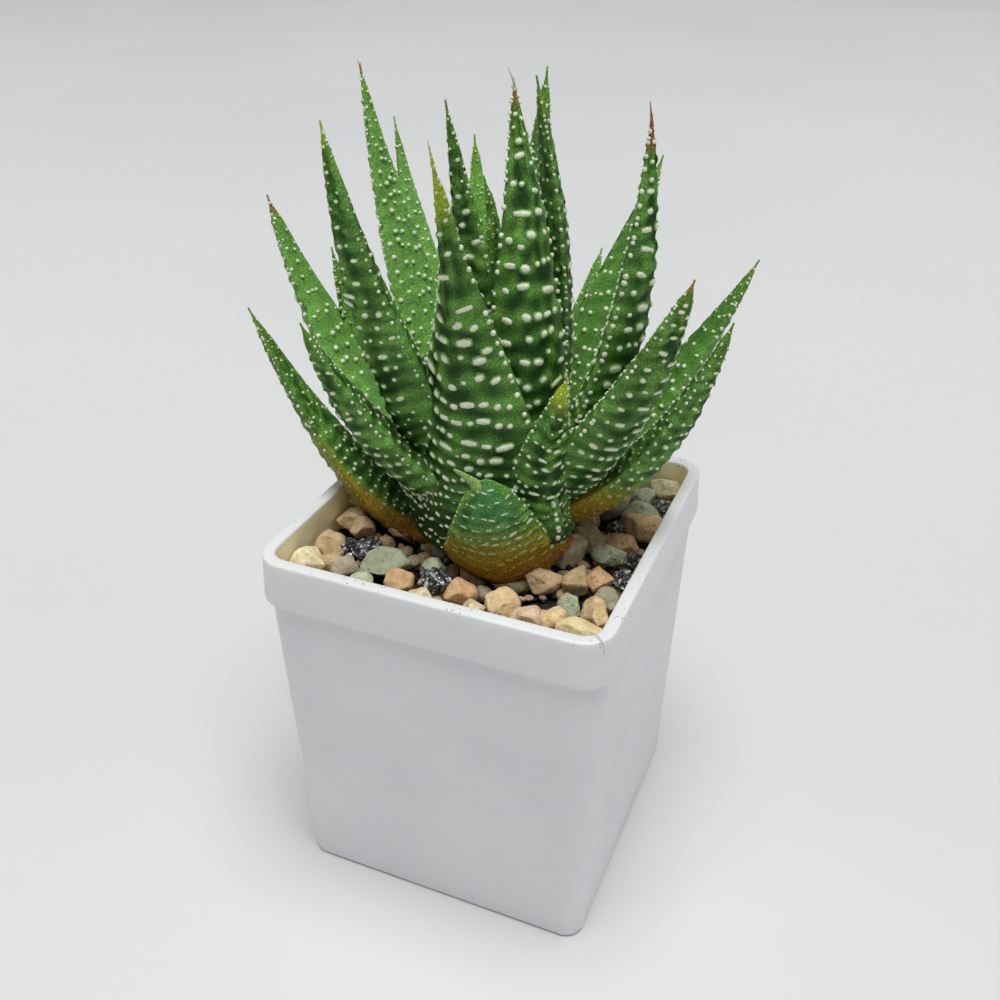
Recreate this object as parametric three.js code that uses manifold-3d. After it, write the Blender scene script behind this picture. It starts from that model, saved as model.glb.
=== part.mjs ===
// Potted haworthia: a rosette of pointed, white-warted leaves in a square white plastic pot topped with gravel.
// Millimetres, +Z up. The origin is the middle of the pot's underside, +X and -Y are the two walls seen in front.

import * as THREE from 'three';
import { mergeVertices } from 'three/addons/utils/BufferGeometryUtils.js';
import { ConvexGeometry } from 'three/addons/geometries/ConvexGeometry.js';
import Module from 'manifold-3d';

const wasm = await Module();
wasm.setup();

// Pot
const POT_HEIGHT = 63;
const POT_TOP_SIDE = 55;
const POT_TOP_CORNER = 4.8;
const RIM_BAND_HEIGHT = 7.9;
const RIM_BAND_FLARE = 0.5;
const RIM_STEP = 0.9;
const RIM_LIP_ROUND = 0.7;
const RIM_EDGE_ROUND = 0.35;
const BODY_TOP_CORNER = 4.3;
const POT_BOTTOM_SIDE = 50.2;
const POT_BOTTOM_CORNER = 3.2;
const POT_BOTTOM_ROUND = 0.8;
const RIM_WALL = 2;
const BODY_WALL = 1.4;
const INNER_CORNER_LEAST = 1.5;
const FLOOR_THICK = 1.6;
const DRAIN_DIAMETER = 4;
const DRAIN_OFFSET = 12;
const DRAIN_SIDES = 10;
const CORNER_STEPS = 4;

// Soil, the gap that separate pieces keep, and the width below which a cut face is smoothed away
const GAP = 0.3;
const SLIVER = 0.03;
const SOIL_TOP = 56.4;
const SOIL_SINK = 10;

// Plant axis and stem
const AXIS_X = 1;
const AXIS_Y = 2;
const STEM_BOTTOM = 46;
const STEM_SHOULDER = 60.4;
const STEM_TOP = 71;
const STEM_RADIUS = 4.2;
const STEM_TIP_RADIUS = 1.6;
const STEM_END_SLOPE = 1;
const STEM_SIDES = 10;

// Leaf blades
const BEND = 0.45;
const BLADE_RINGS = [0, 0.1, 0.23, 0.37, 0.52, 0.68, 0.84, 1];
const SPINE_WIDTH = 0.7;
const INNER_SHARE = 0.2;
const TAPER_POWER = 1.75;
const KEEL = 1.6;
const FACE_FULLNESS = 0.8;
const STRAIGHT_SHARE = 0.12;
const ROOT_NARROWING = 0.75;
const WIDEST = 0.12;

// Warts on the blades, fewer than the real plant has, at their real size
const WART_LENGTH = 0.9;
const WART_WIDTH = 1.3;
const WART_HEIGHT = 0.5;
const WARTED_GAP = 0.85;
const EDGE_ROOM = 1.4;
const NARROW_FIELD = 2.4;
const WART_FILL = 0.38;
const FIRST_WART_RING = 2;

// Gravel: faceted blocks with their corners on a turning line, sunk a little into a thin bed of small ones
const STONE_SPACING = 5.8;
const STONE_SIZE = 6.4;
const STONE_POINTS = 8;
const STONE_TURN = 2.4;
const STONE_SHAKE = 1.2;
const STONE_BULK = 1.15;
const STONE_BULK_SPREAD = 0.2;
const STONE_HEIGHT = 1;
const STONE_REST = 0.44;
const STONE_SEED = 7;
const STONE_ROOM = 0.72;
const BED_THICK = 1;
const PLANT_RADIUS = 9;

// One row a leaf: azimuth of the blade, reach of its tip from the axis, rise of its tip above the soil, lean of its
// base above level, height of its root above the soil, distance of its root from the axis, width and depth of the
// blade, sideways sway of its tip, fullness of its taper.
const LEAVES = {
  leaf_outer_01: [190, 40.3, 36, -45, 4.5, 5, 17, 8, 0, 1.0],
  leaf_outer_02: [218, 29.5, 41, 21, 7.4, 2, 18, 8, 2.5, 1.15],
  leaf_outer_03: [292, 18.4, 21.4, -8, 2.8, 7.5, 21, 8.2, -2.6, 0.55],
  leaf_outer_04: [314, 19.8, 36.5, 84, 3, 11.5, 13.5, 7, 1, 1.1],
  leaf_outer_05: [4, 32.2, 40, 16, 7, 6, 14.5, 7.2, 3, 1.0],
  leaf_outer_06: [36, 39, 43.5, 30, 5.5, 6, 16, 7, 0, 1.1],
  leaf_outer_07: [75, 36, 27, 5, 4, 6, 13, 5.5, 1, 1.2],
  leaf_outer_08: [147, 36, 24, 0, 4, 6, 13, 5.5, -1, 1.2],
  leaf_outer_09: [115, 41, 38, 20, 5, 6, 13, 5.5, 0, 1.2],
  leaf_middle_07: [269, 22.1, 65.5, 96, 4.5, 10.5, 28, 9.5, 0.6, 1.5],
  leaf_middle_01: [176, 41.3, 50.5, 18, 7, 6, 17, 7.5, -0.4, 1.1],
  leaf_middle_02: [223, 24.6, 67, 57, 10, 4.5, 12.5, 10, -0.2, 1],
  leaf_middle_03: [347, 30.1, 50.2, 40, 10, 5, 18, 9.5, -2, 0.9],
  leaf_middle_04: [168, 34, 42, 0, 6, 6, 14, 6, -0.6, 1.2],
  leaf_middle_05: [68, 39, 54, 50, 7, 6, 16, 7, 2.7, 1.05],
  leaf_middle_06: [90, 42, 36, 17, 5, 6, 13, 5.5, -1.1, 1.2],
  leaf_middle_08: [139, 41.3, 58.5, 28, 9, 6, 14, 6, 0, 1.2],
  leaf_middle_09: [3, 19.6, 67.5, 50, 9, 6, 18, 8, -1, 1.15],
  leaf_middle_10: [161, 28.3, 69.5, 54, 9, 5, 14, 6.5, 0, 1.15],
  leaf_inner_01: [312, 0, 70.5, 55, 10, 2, 18, 7.5, 1, 1.2],
  leaf_inner_02: [88, 14, 70, 80, 9, 5, 14, 6, 0, 1.3],
  leaf_inner_03: [244, 9.8, 69, 89, 11, 4, 14, 6, -0.4, 1.2],
  leaf_inner_04: [125, 22, 59, 52, 11, 4, 11, 5, 0, 1.3],
  leaf_inner_05: [50, 4.6, 70.5, 74, 10, 5, 14, 6, 0.2, 1.2],
  leaf_inner_06: [105, 9, 56, 76, 12, 3, 9, 4, 0, 1.3],
  leaf_inner_07: [200, 3, 58, 105, 13, 2.5, 6.5, 3.4, -0.3, 1.3],
  leaf_inner_08: [60, -2, 54, 112, 14, 2, 5.5, 3, 0, 1.3],
};

// Stones seen from in front: x, y, length, width, turn of the length from +X. The rest of the bed follows a rule.
const TAN_STONES = [
  [-22.3, -19.6, 6.4, 4.6, 10], [-22, -13.5, 5.4, 4.6, 40], [-19.6, -18.2, 4.8, 4, 0], [-17, -18.8, 4.6, 4.4, 60],
  [-15.6, -22.3, 4.6, 3.4, 15], [-22.6, -5.6, 5.6, 4.6, 80], [-20, -7.8, 4.4, 4.2, 0], [-15, -9.7, 3.4, 3, 0],
  [-7.6, -18.6, 4.6, 4.4, 0], [-3, -21.6, 5, 3.8, -20], [2.2, -18, 5, 4.6, 60], [5.4, -21.2, 4.4, 3.8, 70],
  [8.9, -19, 5, 4.8, 70], [13.4, -20.6, 5.4, 4.8, 20], [16.9, -18.9, 5, 4, 80], [21.6, -20.6, 7, 4.8, 15],
  [22.3, -15.2, 6.4, 4.4, -60], [22.6, -11, 4, 3.8, 0], [20, -6.6, 5, 4.2, 60], [16.9, -8.4, 5, 4.6, 60],
  [20, 4, 6.6, 3.6, 0], [21.6, 9.8, 7, 4.8, 10], [22, 22.3, 5.4, 5.2, 0], [4.8, -15.8, 3, 2.6, 0],
];
const GREEN_STONES = [
  [-10.8, -15.4, 9, 5.2, 35], [-13.2, -20.4, 4, 3.2, 60], [-4.6, -12.8, 3.8, 3.6, 90], [18, -14.2, 4.4, 3.6, -50],
  [19.4, 0.2, 6, 4, -20], [19.8, 14.2, 7, 4, 0], [19.5, 18.6, 4.4, 4, 30], [-19.5, 8, 5.5, 4.2, 40],
  [-8.5, 21, 5.6, 4.4, -10], [9, 21, 5, 4.4, 70],
];
const BLACK_STONES = [
  [-19.2, -12.8, 3.6, 3.4, 0], [-15.2, -13.6, 5.2, 4.8, 20], [-2.4, -16.9, 5.4, 5, 60], [23.2, -5.6, 4.4, 3.8, 90],
  [18.2, 7.8, 3.6, 3.4, 0], [23.4, 0.8, 3.6, 3.4, 0], [23.2, 17.6, 3.8, 3.4, 0], [-14, 17.5, 4.8, 4, 0],
  [3.5, 22, 4.6, 4, 30], [-22.2, 15.5, 4.6, 4.2, 80],
];

const LOOKS = {
  pot: { color: 0xe6e8ec, roughness: 0.35, metalness: 0 },
  soil: { color: 0x1c1916, roughness: 0.95, metalness: 0 },
  stem: { color: 0xa8843c, roughness: 0.8, metalness: 0 },
  leaf: { color: 0x2f6b26, roughness: 0.5, metalness: 0 },
  gravel: { color: 0xcaa57a, roughness: 0.85, metalness: 0 },
  green: { color: 0x8b9a80, roughness: 0.85, metalness: 0 },
  black: { color: 0x35363a, roughness: 0.6, metalness: 0 },
};

// Numbers that look random but come out alike each time
function seededRandom(seed) {
  let state = seed;
  return () => {
    state = (state + 0x6d2b79f5) | 0;
    let mixed = Math.imul(state ^ (state >>> 15), 1 | state);
    mixed = (mixed + Math.imul(mixed ^ (mixed >>> 7), 61 | mixed)) ^ mixed;
    return ((mixed ^ (mixed >>> 14)) >>> 0) / 4294967296;
  };
}

// Closed geometry to a solid for joining and cutting, and back
function toSolid(geometry) {
  const plain = geometry.index ? geometry.toNonIndexed() : geometry.clone();
  plain.deleteAttribute('normal');
  plain.deleteAttribute('uv');
  const merged = mergeVertices(plain, 1e-4);
  return new wasm.Manifold(new wasm.Mesh({
    numProp: 3,
    vertProperties: new Float32Array(merged.attributes.position.array),
    triVerts: new Uint32Array(merged.index.array),
  }));
}

function toGeometry(solid) {
  const { vertProperties, triVerts } = solid.getMesh();
  const geometry = new THREE.BufferGeometry();
  geometry.setAttribute('position', new THREE.BufferAttribute(new Float32Array(vertProperties), 3));
  geometry.setIndex(new THREE.BufferAttribute(new Uint32Array(triVerts), 1));
  geometry.computeVertexNormals();
  return geometry;
}

// Closed skin over rings of equally many points, each ring seen counter-clockwise from the far end
function loft(rings) {
  const count = rings[0].length;
  const centre = (ring) => ring.reduce((sum, p) => sum.add(p), new THREE.Vector3()).divideScalar(count);
  const points = [...rings.flat(), centre(rings[0]), centre(rings.at(-1))];
  const startPoint = rings.length * count;
  const faces = [];
  for (let j = 0; j < count; j++) {
    const next = (j + 1) % count;
    faces.push(startPoint, next, j);
    faces.push(startPoint + 1, (rings.length - 1) * count + j, (rings.length - 1) * count + next);
    for (let i = 0; i < rings.length - 1; i++) {
      const low = i * count;
      const high = low + count;
      faces.push(low + j, low + next, high + next);
      faces.push(low + j, high + next, high + j);
    }
  }
  const geometry = new THREE.BufferGeometry().setFromPoints(points);
  geometry.setIndex(faces);
  return geometry;
}

// Pot, in one loft that runs up the outside, over the rim and down the inside
function roundedSquare(side, corner, z) {
  const points = [];
  const reach = side / 2 - corner;
  const quarters = [[1, -1, -0.5], [1, 1, 0], [-1, 1, 0.5], [-1, -1, 1]];
  for (const [signX, signY, start] of quarters) {
    for (let k = 0; k <= CORNER_STEPS; k++) {
      const angle = (start + 0.5 * k / CORNER_STEPS) * Math.PI;
      const x = signX * reach + corner * Math.cos(angle);
      const y = signY * reach + corner * Math.sin(angle);
      points.push(new THREE.Vector3(x, y, z));
    }
  }
  return points;
}

const RIM_LOW = POT_HEIGHT - RIM_BAND_HEIGHT;
const BODY_TOP_SIDE = POT_TOP_SIDE + RIM_BAND_FLARE - 2 * RIM_STEP;

function bodySide(z) {
  return THREE.MathUtils.lerp(POT_BOTTOM_SIDE, BODY_TOP_SIDE, z / RIM_LOW);
}

function bodyCorner(z) {
  return THREE.MathUtils.lerp(POT_BOTTOM_CORNER, BODY_TOP_CORNER, z / RIM_LOW);
}

function innerSide(z) {
  const rimSide = POT_TOP_SIDE - 2 * RIM_WALL;
  return Math.min(rimSide, bodySide(z) - 2 * BODY_WALL);
}

function makePot() {
  const bandSide = POT_TOP_SIDE + RIM_BAND_FLARE;
  const innerCorner = (z) => Math.max(bodyCorner(z) - BODY_WALL, INNER_CORNER_LEAST);
  const rimInnerSide = POT_TOP_SIDE - 2 * RIM_WALL;
  const rimInnerCorner = POT_TOP_CORNER - RIM_WALL;
  const edge = RIM_EDGE_ROUND;
  const profile = [
    [POT_BOTTOM_SIDE - 2 * POT_BOTTOM_ROUND, POT_BOTTOM_CORNER - POT_BOTTOM_ROUND, 0],
    [POT_BOTTOM_SIDE, POT_BOTTOM_CORNER, POT_BOTTOM_ROUND],
    [bodySide(RIM_LOW), bodyCorner(RIM_LOW), RIM_LOW],
    [bandSide - 2 * RIM_LIP_ROUND, POT_TOP_CORNER - RIM_LIP_ROUND, RIM_LOW],
    [bandSide, POT_TOP_CORNER, RIM_LOW + RIM_LIP_ROUND],
    [POT_TOP_SIDE, POT_TOP_CORNER, POT_HEIGHT - edge],
    [POT_TOP_SIDE - 2 * edge, POT_TOP_CORNER - edge, POT_HEIGHT],
    [rimInnerSide + 2 * edge, rimInnerCorner + edge, POT_HEIGHT],
    [rimInnerSide, rimInnerCorner, POT_HEIGHT - edge],
    [innerSide(RIM_LOW), innerCorner(RIM_LOW), RIM_LOW],
    [innerSide(FLOOR_THICK), innerCorner(FLOOR_THICK), FLOOR_THICK],
  ];
  let pot = toSolid(loft(profile.map(([side, corner, z]) => roundedSquare(side, corner, z))));
  for (const [signX, signY] of [[1, 1], [-1, 1], [-1, -1], [1, -1]]) {
    const radius = DRAIN_DIAMETER / 2;
    const drain = new THREE.CylinderGeometry(radius, radius, 4 * FLOOR_THICK, DRAIN_SIDES);
    drain.rotateX(Math.PI / 2);
    drain.translate(signX * DRAIN_OFFSET, signY * DRAIN_OFFSET, 0);
    pot = pot.subtract(toSolid(drain));
  }
  return pot;
}

// Stem, and the soil with a plain hole for it
function makeStem(clearance) {
  const profile = [
    [0, STEM_BOTTOM - clearance],
    [STEM_RADIUS + clearance - STEM_END_SLOPE, STEM_BOTTOM - clearance],
    [STEM_RADIUS + clearance, STEM_BOTTOM + STEM_END_SLOPE],
    [STEM_RADIUS + clearance, STEM_SHOULDER],
    [STEM_TIP_RADIUS + clearance, STEM_TOP + clearance],
    [0, STEM_TOP + clearance],
  ];
  const stem = new THREE.LatheGeometry(profile.map(([x, y]) => new THREE.Vector2(x, y)), STEM_SIDES);
  stem.rotateX(Math.PI / 2);
  stem.translate(AXIS_X, AXIS_Y, 0);
  return toSolid(stem);
}

function makeSoil() {
  const heights = [FLOOR_THICK + GAP, SOIL_TOP - SOIL_SINK, SOIL_TOP];
  const rings = heights.map((z) => roundedSquare(innerSide(z) - 2 * GAP, POT_TOP_CORNER - RIM_WALL, z));
  return toSolid(loft(rings)).subtract(makeStem(GAP));
}

// Leaf blades
function leafShape(name) {
  const [azimuth, reach, rise, lean, rootRise, rootReach, width, depth, sway, fullness] = LEAVES[name];
  const angle = THREE.MathUtils.degToRad(azimuth);
  const out = new THREE.Vector3(Math.cos(angle), Math.sin(angle), 0);
  const side = new THREE.Vector3(-Math.sin(angle), Math.cos(angle), 0);
  const place = (distance, height, shift) => new THREE.Vector3(AXIS_X, AXIS_Y, SOIL_TOP + height)
    .addScaledVector(out, distance)
    .addScaledVector(side, shift);
  const root = place(rootReach, rootRise, 0);
  const tip = place(reach, rise, sway);
  const level = THREE.MathUtils.degToRad(lean);
  const hold = BEND * Math.hypot(reach - rootReach, rise - rootRise);
  const bend = place(rootReach + hold * Math.cos(level), rootRise + hold * Math.sin(level), 0);
  return { curve: new THREE.QuadraticBezierCurve3(root, bend, tip), side, width, depth, fullness };
}

// Point of a blade at a share of its length and a share across, -1 to 1, on its outer or inner face
function bladePoint(leaf, along, across, outer, clearance) {
  const middle = leaf.curve.getPoint(along);
  const tangent = leaf.curve.getTangent(along);
  const side = leaf.side.clone().addScaledVector(tangent, -leaf.side.dot(tangent)).normalize();
  const outward = side.clone().cross(tangent);
  const taper = 1 - Math.pow(along, TAPER_POWER);
  const clasp = THREE.MathUtils.lerp(ROOT_NARROWING, 1, THREE.MathUtils.smoothstep(along, 0, WIDEST));
  const narrowing = clasp * THREE.MathUtils.lerp(Math.pow(taper, leaf.fullness), 1 - along, STRAIGHT_SHARE);
  const halfWidth = Math.max(leaf.width * narrowing, SPINE_WIDTH) / 2 + EDGE_ROOM * clearance;
  const depth = Math.max(leaf.depth * taper, SPINE_WIDTH);
  const bulge = Math.pow(1 - Math.pow(Math.abs(across), KEEL), FACE_FULLNESS);
  const margin = (INNER_SHARE - 0.5) * depth;
  const faceClearance = Math.abs(across) < 1 ? clearance : 0;
  const lift = outer
    ? margin + (1 - INNER_SHARE) * depth * bulge + faceClearance
    : margin - INNER_SHARE * depth * bulge - faceClearance;
  return middle
    .addScaledVector(side, halfWidth * across)
    .addScaledVector(outward, lift)
    .addScaledVector(tangent, clearance * (2 * along - 1));
}

// Corners of a blade's section as shares across, the outer face first, and the face that each side is on
const SECTION = [-1, -0.6, 0, 0.6, 1, 0.55, -0.55];
const OUTER_SIDES = 4;

function makeBladeRoom(leaf) {
  const clearance = WARTED_GAP;
  const rings = BLADE_RINGS.map((along) => SECTION.map(
    (across, j) => bladePoint(leaf, along, across, j <= OUTER_SIDES, clearance)));
  return toSolid(loft(rings));
}

// Places of the warts in one field of the blade's skin, as shares across the field and along it
function wartPlaces(ring, side, fieldWidth) {
  const odd = (ring + side) % 2 === 1;
  if (ring < FIRST_WART_RING) {
    return [];
  }
  if (side >= OUTER_SIDES) {
    return odd ? [] : [[0.5, 0.5]];
  }
  if (fieldWidth < NARROW_FIELD) {
    return odd ? [[0.5, 0.7]] : [[0.5, 0.3]];
  }
  return odd ? [[0.3, 0.25], [0.7, 0.75]] : [[0.5, 0.5]];
}

// A blade: fields between the rings, each with low three-sided points that stand on its face
function makeBlade(leaf) {
  const sides = SECTION.length;
  const skin = [];
  const faces = [];
  for (const along of BLADE_RINGS) {
    SECTION.forEach((across, j) => skin.push(bladePoint(leaf, along, across, j <= OUTER_SIDES, 0)));
  }
  for (let i = 0; i < BLADE_RINGS.length - 1; i++) {
    for (let j = 0; j < sides; j++) {
      const next = (j + 1) % sides;
      const corners = [i * sides + j, i * sides + next, (i + 1) * sides + next, (i + 1) * sides + j];
      const [near, nearNext, farNext, far] = corners.map((index) => skin[index]);
      const width = (near.distanceTo(nearNext) + far.distanceTo(farNext)) / 2;
      const length = (near.distanceTo(far) + nearNext.distanceTo(farNext)) / 2;
      const onField = (t, s) => near.clone().lerp(nearNext, t).lerp(far.clone().lerp(farNext, t), s);
      const feet = wartPlaces(i, j, width).map(([t, s]) => {
        const halfWidth = Math.min(WART_WIDTH / 2 / width, WART_FILL * Math.min(t, 1 - t) * 2);
        const halfLength = Math.min(WART_LENGTH / 2 / length, WART_FILL * Math.min(s, 1 - s) * 2);
        return [
          new THREE.Vector2(t - halfWidth, s - halfLength),
          new THREE.Vector2(t + halfWidth, s - halfLength),
          new THREE.Vector2(t, s + halfLength),
        ];
      });
      const indices = [...corners];
      for (const foot of feet) {
        const base = foot.map(({ x, y }) => onField(x, y));
        const start = skin.length;
        const peak = base.reduce((sum, p) => sum.add(p), new THREE.Vector3()).divideScalar(3);
        const up = base[1].clone().sub(base[0]).cross(base[2].clone().sub(base[0])).normalize();
        skin.push(...base, peak.addScaledVector(up, WART_HEIGHT));
        faces.push(start, start + 1, start + 3, start + 1, start + 2, start + 3, start + 2, start, start + 3);
        indices.push(start, start + 1, start + 2);
      }
      const square = [[0, 0], [1, 0], [1, 1], [0, 1]].map(([x, y]) => new THREE.Vector2(x, y));
      const flat = [...square, ...feet.flat()];
      for (const [a, b, c] of THREE.ShapeUtils.triangulateShape(square, feet)) {
        const turn = flat[b].clone().sub(flat[a]).cross(flat[c].clone().sub(flat[a]));
        faces.push(indices[a], ...(turn > 0 ? [indices[b], indices[c]] : [indices[c], indices[b]]));
      }
    }
  }
  const last = (BLADE_RINGS.length - 1) * sides;
  for (let j = 1; j < sides - 1; j++) {
    faces.push(0, j + 1, j, last, last + j, last + j + 1);
  }
  const geometry = new THREE.BufferGeometry().setFromPoints(skin);
  geometry.setIndex(faces);
  return toSolid(geometry);
}

// Stones: rounded blocks of a few flat faces
function makeStone([x, y, length, width, turn], random, clearance) {
  const height = STONE_HEIGHT * width;
  const points = [];
  for (let k = 0; k < STONE_POINTS; k++) {
    const level = 1 - (2 * k + 1) / STONE_POINTS;
    const round = Math.sqrt(1 - level * level);
    const angle = k * STONE_TURN + random() * STONE_SHAKE;
    const bulk = STONE_BULK + STONE_BULK_SPREAD * random();
    points.push(new THREE.Vector3(
      (length / 2 * bulk + clearance) * round * Math.cos(angle),
      (width / 2 * bulk + clearance) * round * Math.sin(angle),
      (height / 2 + clearance) * level * bulk,
    ));
  }
  const stone = new ConvexGeometry(points);
  stone.rotateZ(THREE.MathUtils.degToRad(turn));
  stone.translate(x, y, SOIL_TOP + GAP + STONE_REST * height);
  return toSolid(stone);
}

// Places of the stones that no list holds: a six-sided lattice, shaken, wherever it is free
function fillingStones(random, taken) {
  const stones = [];
  const reach = POT_TOP_SIDE / 2 - RIM_WALL - STONE_SIZE * STONE_REST;
  const rowStep = STONE_SPACING * Math.sqrt(3) / 2;
  const rows = Math.floor(reach / rowStep);
  for (let row = -rows; row <= rows; row++) {
    const shift = row % 2 === 0 ? 0 : STONE_SPACING / 2;
    for (let x = -reach + shift; x <= reach; x += STONE_SPACING) {
      const place = [x + random() - 0.5, row * rowStep + random() - 0.5];
      const length = STONE_SIZE * (0.8 + 0.35 * random());
      const width = length * (0.7 + 0.25 * random());
      const turn = 180 * random();
      const free = taken.every(([otherX, otherY]) =>
        Math.hypot(place[0] - otherX, place[1] - otherY) > STONE_SPACING * STONE_ROOM);
      const underPlant = Math.hypot(place[0] - AXIS_X, place[1] - AXIS_Y) < PLANT_RADIUS;
      if (free && !underPlant) {
        stones.push([...place, length, width, turn]);
      }
    }
  }
  return stones;
}

// The space inside the pot from one height to another, clear of the walls
function potSpace(low, high) {
  const side = (z) => innerSide(z) - 2 * GAP;
  return toSolid(loft([low, high].map((z) => roundedSquare(side(z), POT_TOP_CORNER - RIM_WALL, z))));
}

// Largest body of a cut piece, without its scraps and its thinnest triangles
function largest(solid) {
  const bodies = solid.simplify(SLIVER).decompose();
  return bodies.reduce((best, body) => (body.volume() > best.volume() ? body : best));
}

function boxesMeet(a, b) {
  const boxA = a.boundingBox();
  const boxB = b.boundingBox();
  return [0, 1, 2].every((i) => boxA.min[i] < boxB.max[i] && boxB.min[i] < boxA.max[i]);
}

function cutBy(solid, cutters) {
  const near = cutters.filter((cutter) => boxesMeet(solid, cutter));
  return near.length > 0 ? largest(near.reduce((rest, cutter) => rest.subtract(cutter), solid)) : solid;
}

// Blades, each cut where an outer one or the stem holds the place
const leaves = Object.fromEntries(Object.keys(LEAVES).map((name) => [name, leafShape(name)]));
const blades = {};
const bladeRoom = [makeStem(GAP)];
for (const [name, leaf] of Object.entries(leaves)) {
  blades[name] = cutBy(makeBlade(leaf), bladeRoom);
  bladeRoom.push(makeBladeRoom(leaf));
}

// Soil and stones, with room for the blades that lie on them
const soil = cutBy(makeSoil(), bladeRoom);
const gravelSpace = potSpace(SOIL_TOP + GAP, POT_HEIGHT + STONE_SIZE);
const random = seededRandom(STONE_SEED);
const stones = {};
const stoneRoom = [];
for (const [colour, list] of Object.entries({ green: GREEN_STONES, black: BLACK_STONES })) {
  list.forEach((place, index) => {
    const name = `stone_${colour}_${String(index + 1).padStart(2, '0')}`;
    const seed = STONE_SEED + Object.keys(stones).length;
    const stone = makeStone(place, seededRandom(seed), 0).intersect(gravelSpace);
    stones[name] = cutBy(stone, [...bladeRoom, ...stoneRoom]);
    stoneRoom.push(makeStone(place, seededRandom(seed), GAP));
  });
}
const listed = [...TAN_STONES, ...GREEN_STONES, ...BLACK_STONES];
const tanStones = [...TAN_STONES, ...fillingStones(random, listed)].map((place) => makeStone(place, random, 0));
const bed = potSpace(SOIL_TOP + GAP, SOIL_TOP + GAP + BED_THICK);
const gravel = cutBy(
  tanStones.reduce((sum, stone) => sum.add(stone), bed).intersect(gravelSpace),
  [...bladeRoom, ...stoneRoom],
);

const haworthia = new THREE.Group();

function addPiece(name, solid, look) {
  const piece = new THREE.Mesh(toGeometry(solid), new THREE.MeshStandardMaterial(LOOKS[look]));
  piece.name = name;
  haworthia.add(piece);
}

addPiece('pot', makePot(), 'pot');
addPiece('soil', soil, 'soil');
addPiece('stem', makeStem(0), 'stem');
addPiece('gravel_tan', gravel, 'gravel');
Object.entries(stones).forEach(([name, stone]) => addPiece(name, stone, name.split('_')[1]));
Object.entries(blades).forEach(([name, leaf]) => addPiece(name, leaf, 'leaf'));

export default haworthia;
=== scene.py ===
# Looks of a potted haworthia: leaf blades with white warts, loose gravel, soil and a white plastic pot.

import math

import bmesh
import bpy
import numpy as np
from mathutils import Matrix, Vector, noise
from mathutils.bvhtree import BVHTree


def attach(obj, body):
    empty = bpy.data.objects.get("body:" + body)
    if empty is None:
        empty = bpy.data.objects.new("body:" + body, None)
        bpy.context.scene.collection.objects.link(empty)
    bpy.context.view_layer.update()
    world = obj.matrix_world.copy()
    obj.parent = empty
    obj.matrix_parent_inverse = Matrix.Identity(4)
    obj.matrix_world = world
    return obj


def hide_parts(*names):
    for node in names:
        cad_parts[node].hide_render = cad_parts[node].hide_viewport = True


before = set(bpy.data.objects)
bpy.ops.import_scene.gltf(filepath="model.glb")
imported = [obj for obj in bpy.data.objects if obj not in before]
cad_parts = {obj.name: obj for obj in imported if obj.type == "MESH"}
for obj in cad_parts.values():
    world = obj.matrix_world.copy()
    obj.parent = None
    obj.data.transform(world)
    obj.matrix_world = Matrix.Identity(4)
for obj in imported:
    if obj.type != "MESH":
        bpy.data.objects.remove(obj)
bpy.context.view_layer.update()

# Sizes are in millimetres until a mesh is made
MM = 0.001

# Pot, as in the solids
POT_HEIGHT = 63
POT_TOP_SIDE = 55
POT_TOP_CORNER = 4.8
RIM_BAND_HEIGHT = 7.9
RIM_BAND_FLARE = 0.5
RIM_STEP = 0.9
RIM_LIP_ROUND = 0.7
RIM_EDGE_ROUND = 0.35
BODY_TOP_CORNER = 4.3
POT_BOTTOM_SIDE = 50.2
POT_BOTTOM_CORNER = 3.2
POT_BOTTOM_ROUND = 0.8
RIM_WALL = 2
BODY_WALL = 1.4
INNER_CORNER_LEAST = 1.5
FLOOR_THICK = 1.6
DRAIN_RADIUS = 2
DRAIN_OFFSET = 12
DRAIN_SIDES = 40
FLOOR_INSET = 8
RIM_LOW = POT_HEIGHT - RIM_BAND_HEIGHT
BODY_TOP_SIDE = POT_TOP_SIDE + RIM_BAND_FLARE - 2 * RIM_STEP
BODY_LEVELS = (4, 20, 40, RIM_LOW - 1.2, RIM_LOW - 0.3)
INNER_LEVELS = (POT_HEIGHT - 2, RIM_LOW, 40, 20, FLOOR_THICK + 0.6)

# Soil and plant axis, as in the solids
GAP = 0.3
SOIL_TOP = 56.4
SOIL_STEPS = 90
SOIL_GRAINS = 900
GRAIN_SEED = 31
GRAIN_INSET = 0.8
AXIS = np.array([1.0, 2.0, 0.0])

# Leaf blades, as in the solids but for a slimmer upper half of leaf_middle_07, a straighter leaf_middle_09, a
# broader foot of leaf_outer_04 and half a millimetre more or less bend in leaf_middle_02 and leaf_outer_01
BEND = 0.45
INNER_SHARE = 0.2
TAPER_POWER = 1.75
KEEL = 1.6
FACE_FULLNESS = 0.8
STRAIGHT_SHARE = 0.12
ROOT_NARROWING = 0.75
ROOT_SHARE = {"outer_03": 1.0}
WIDEST = 0.12
TIP_WIDTH = 0.3

# Flesh that the warty upper part of a blade has beyond the plain taper, and its share where a leaf has less
TIP_FILL = 0.9
TIP_FILL_SHARE = {
    "middle_02": 0.3, "middle_07": 0.5, "middle_10": 0.4, "middle_08": 0.4,
    "middle_05": 0.3, "outer_06": 0.4, "inner_03": 0.4, "middle_09": 0.6,
    "outer_01": 0.85, "inner_05": 0.7,
}

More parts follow.
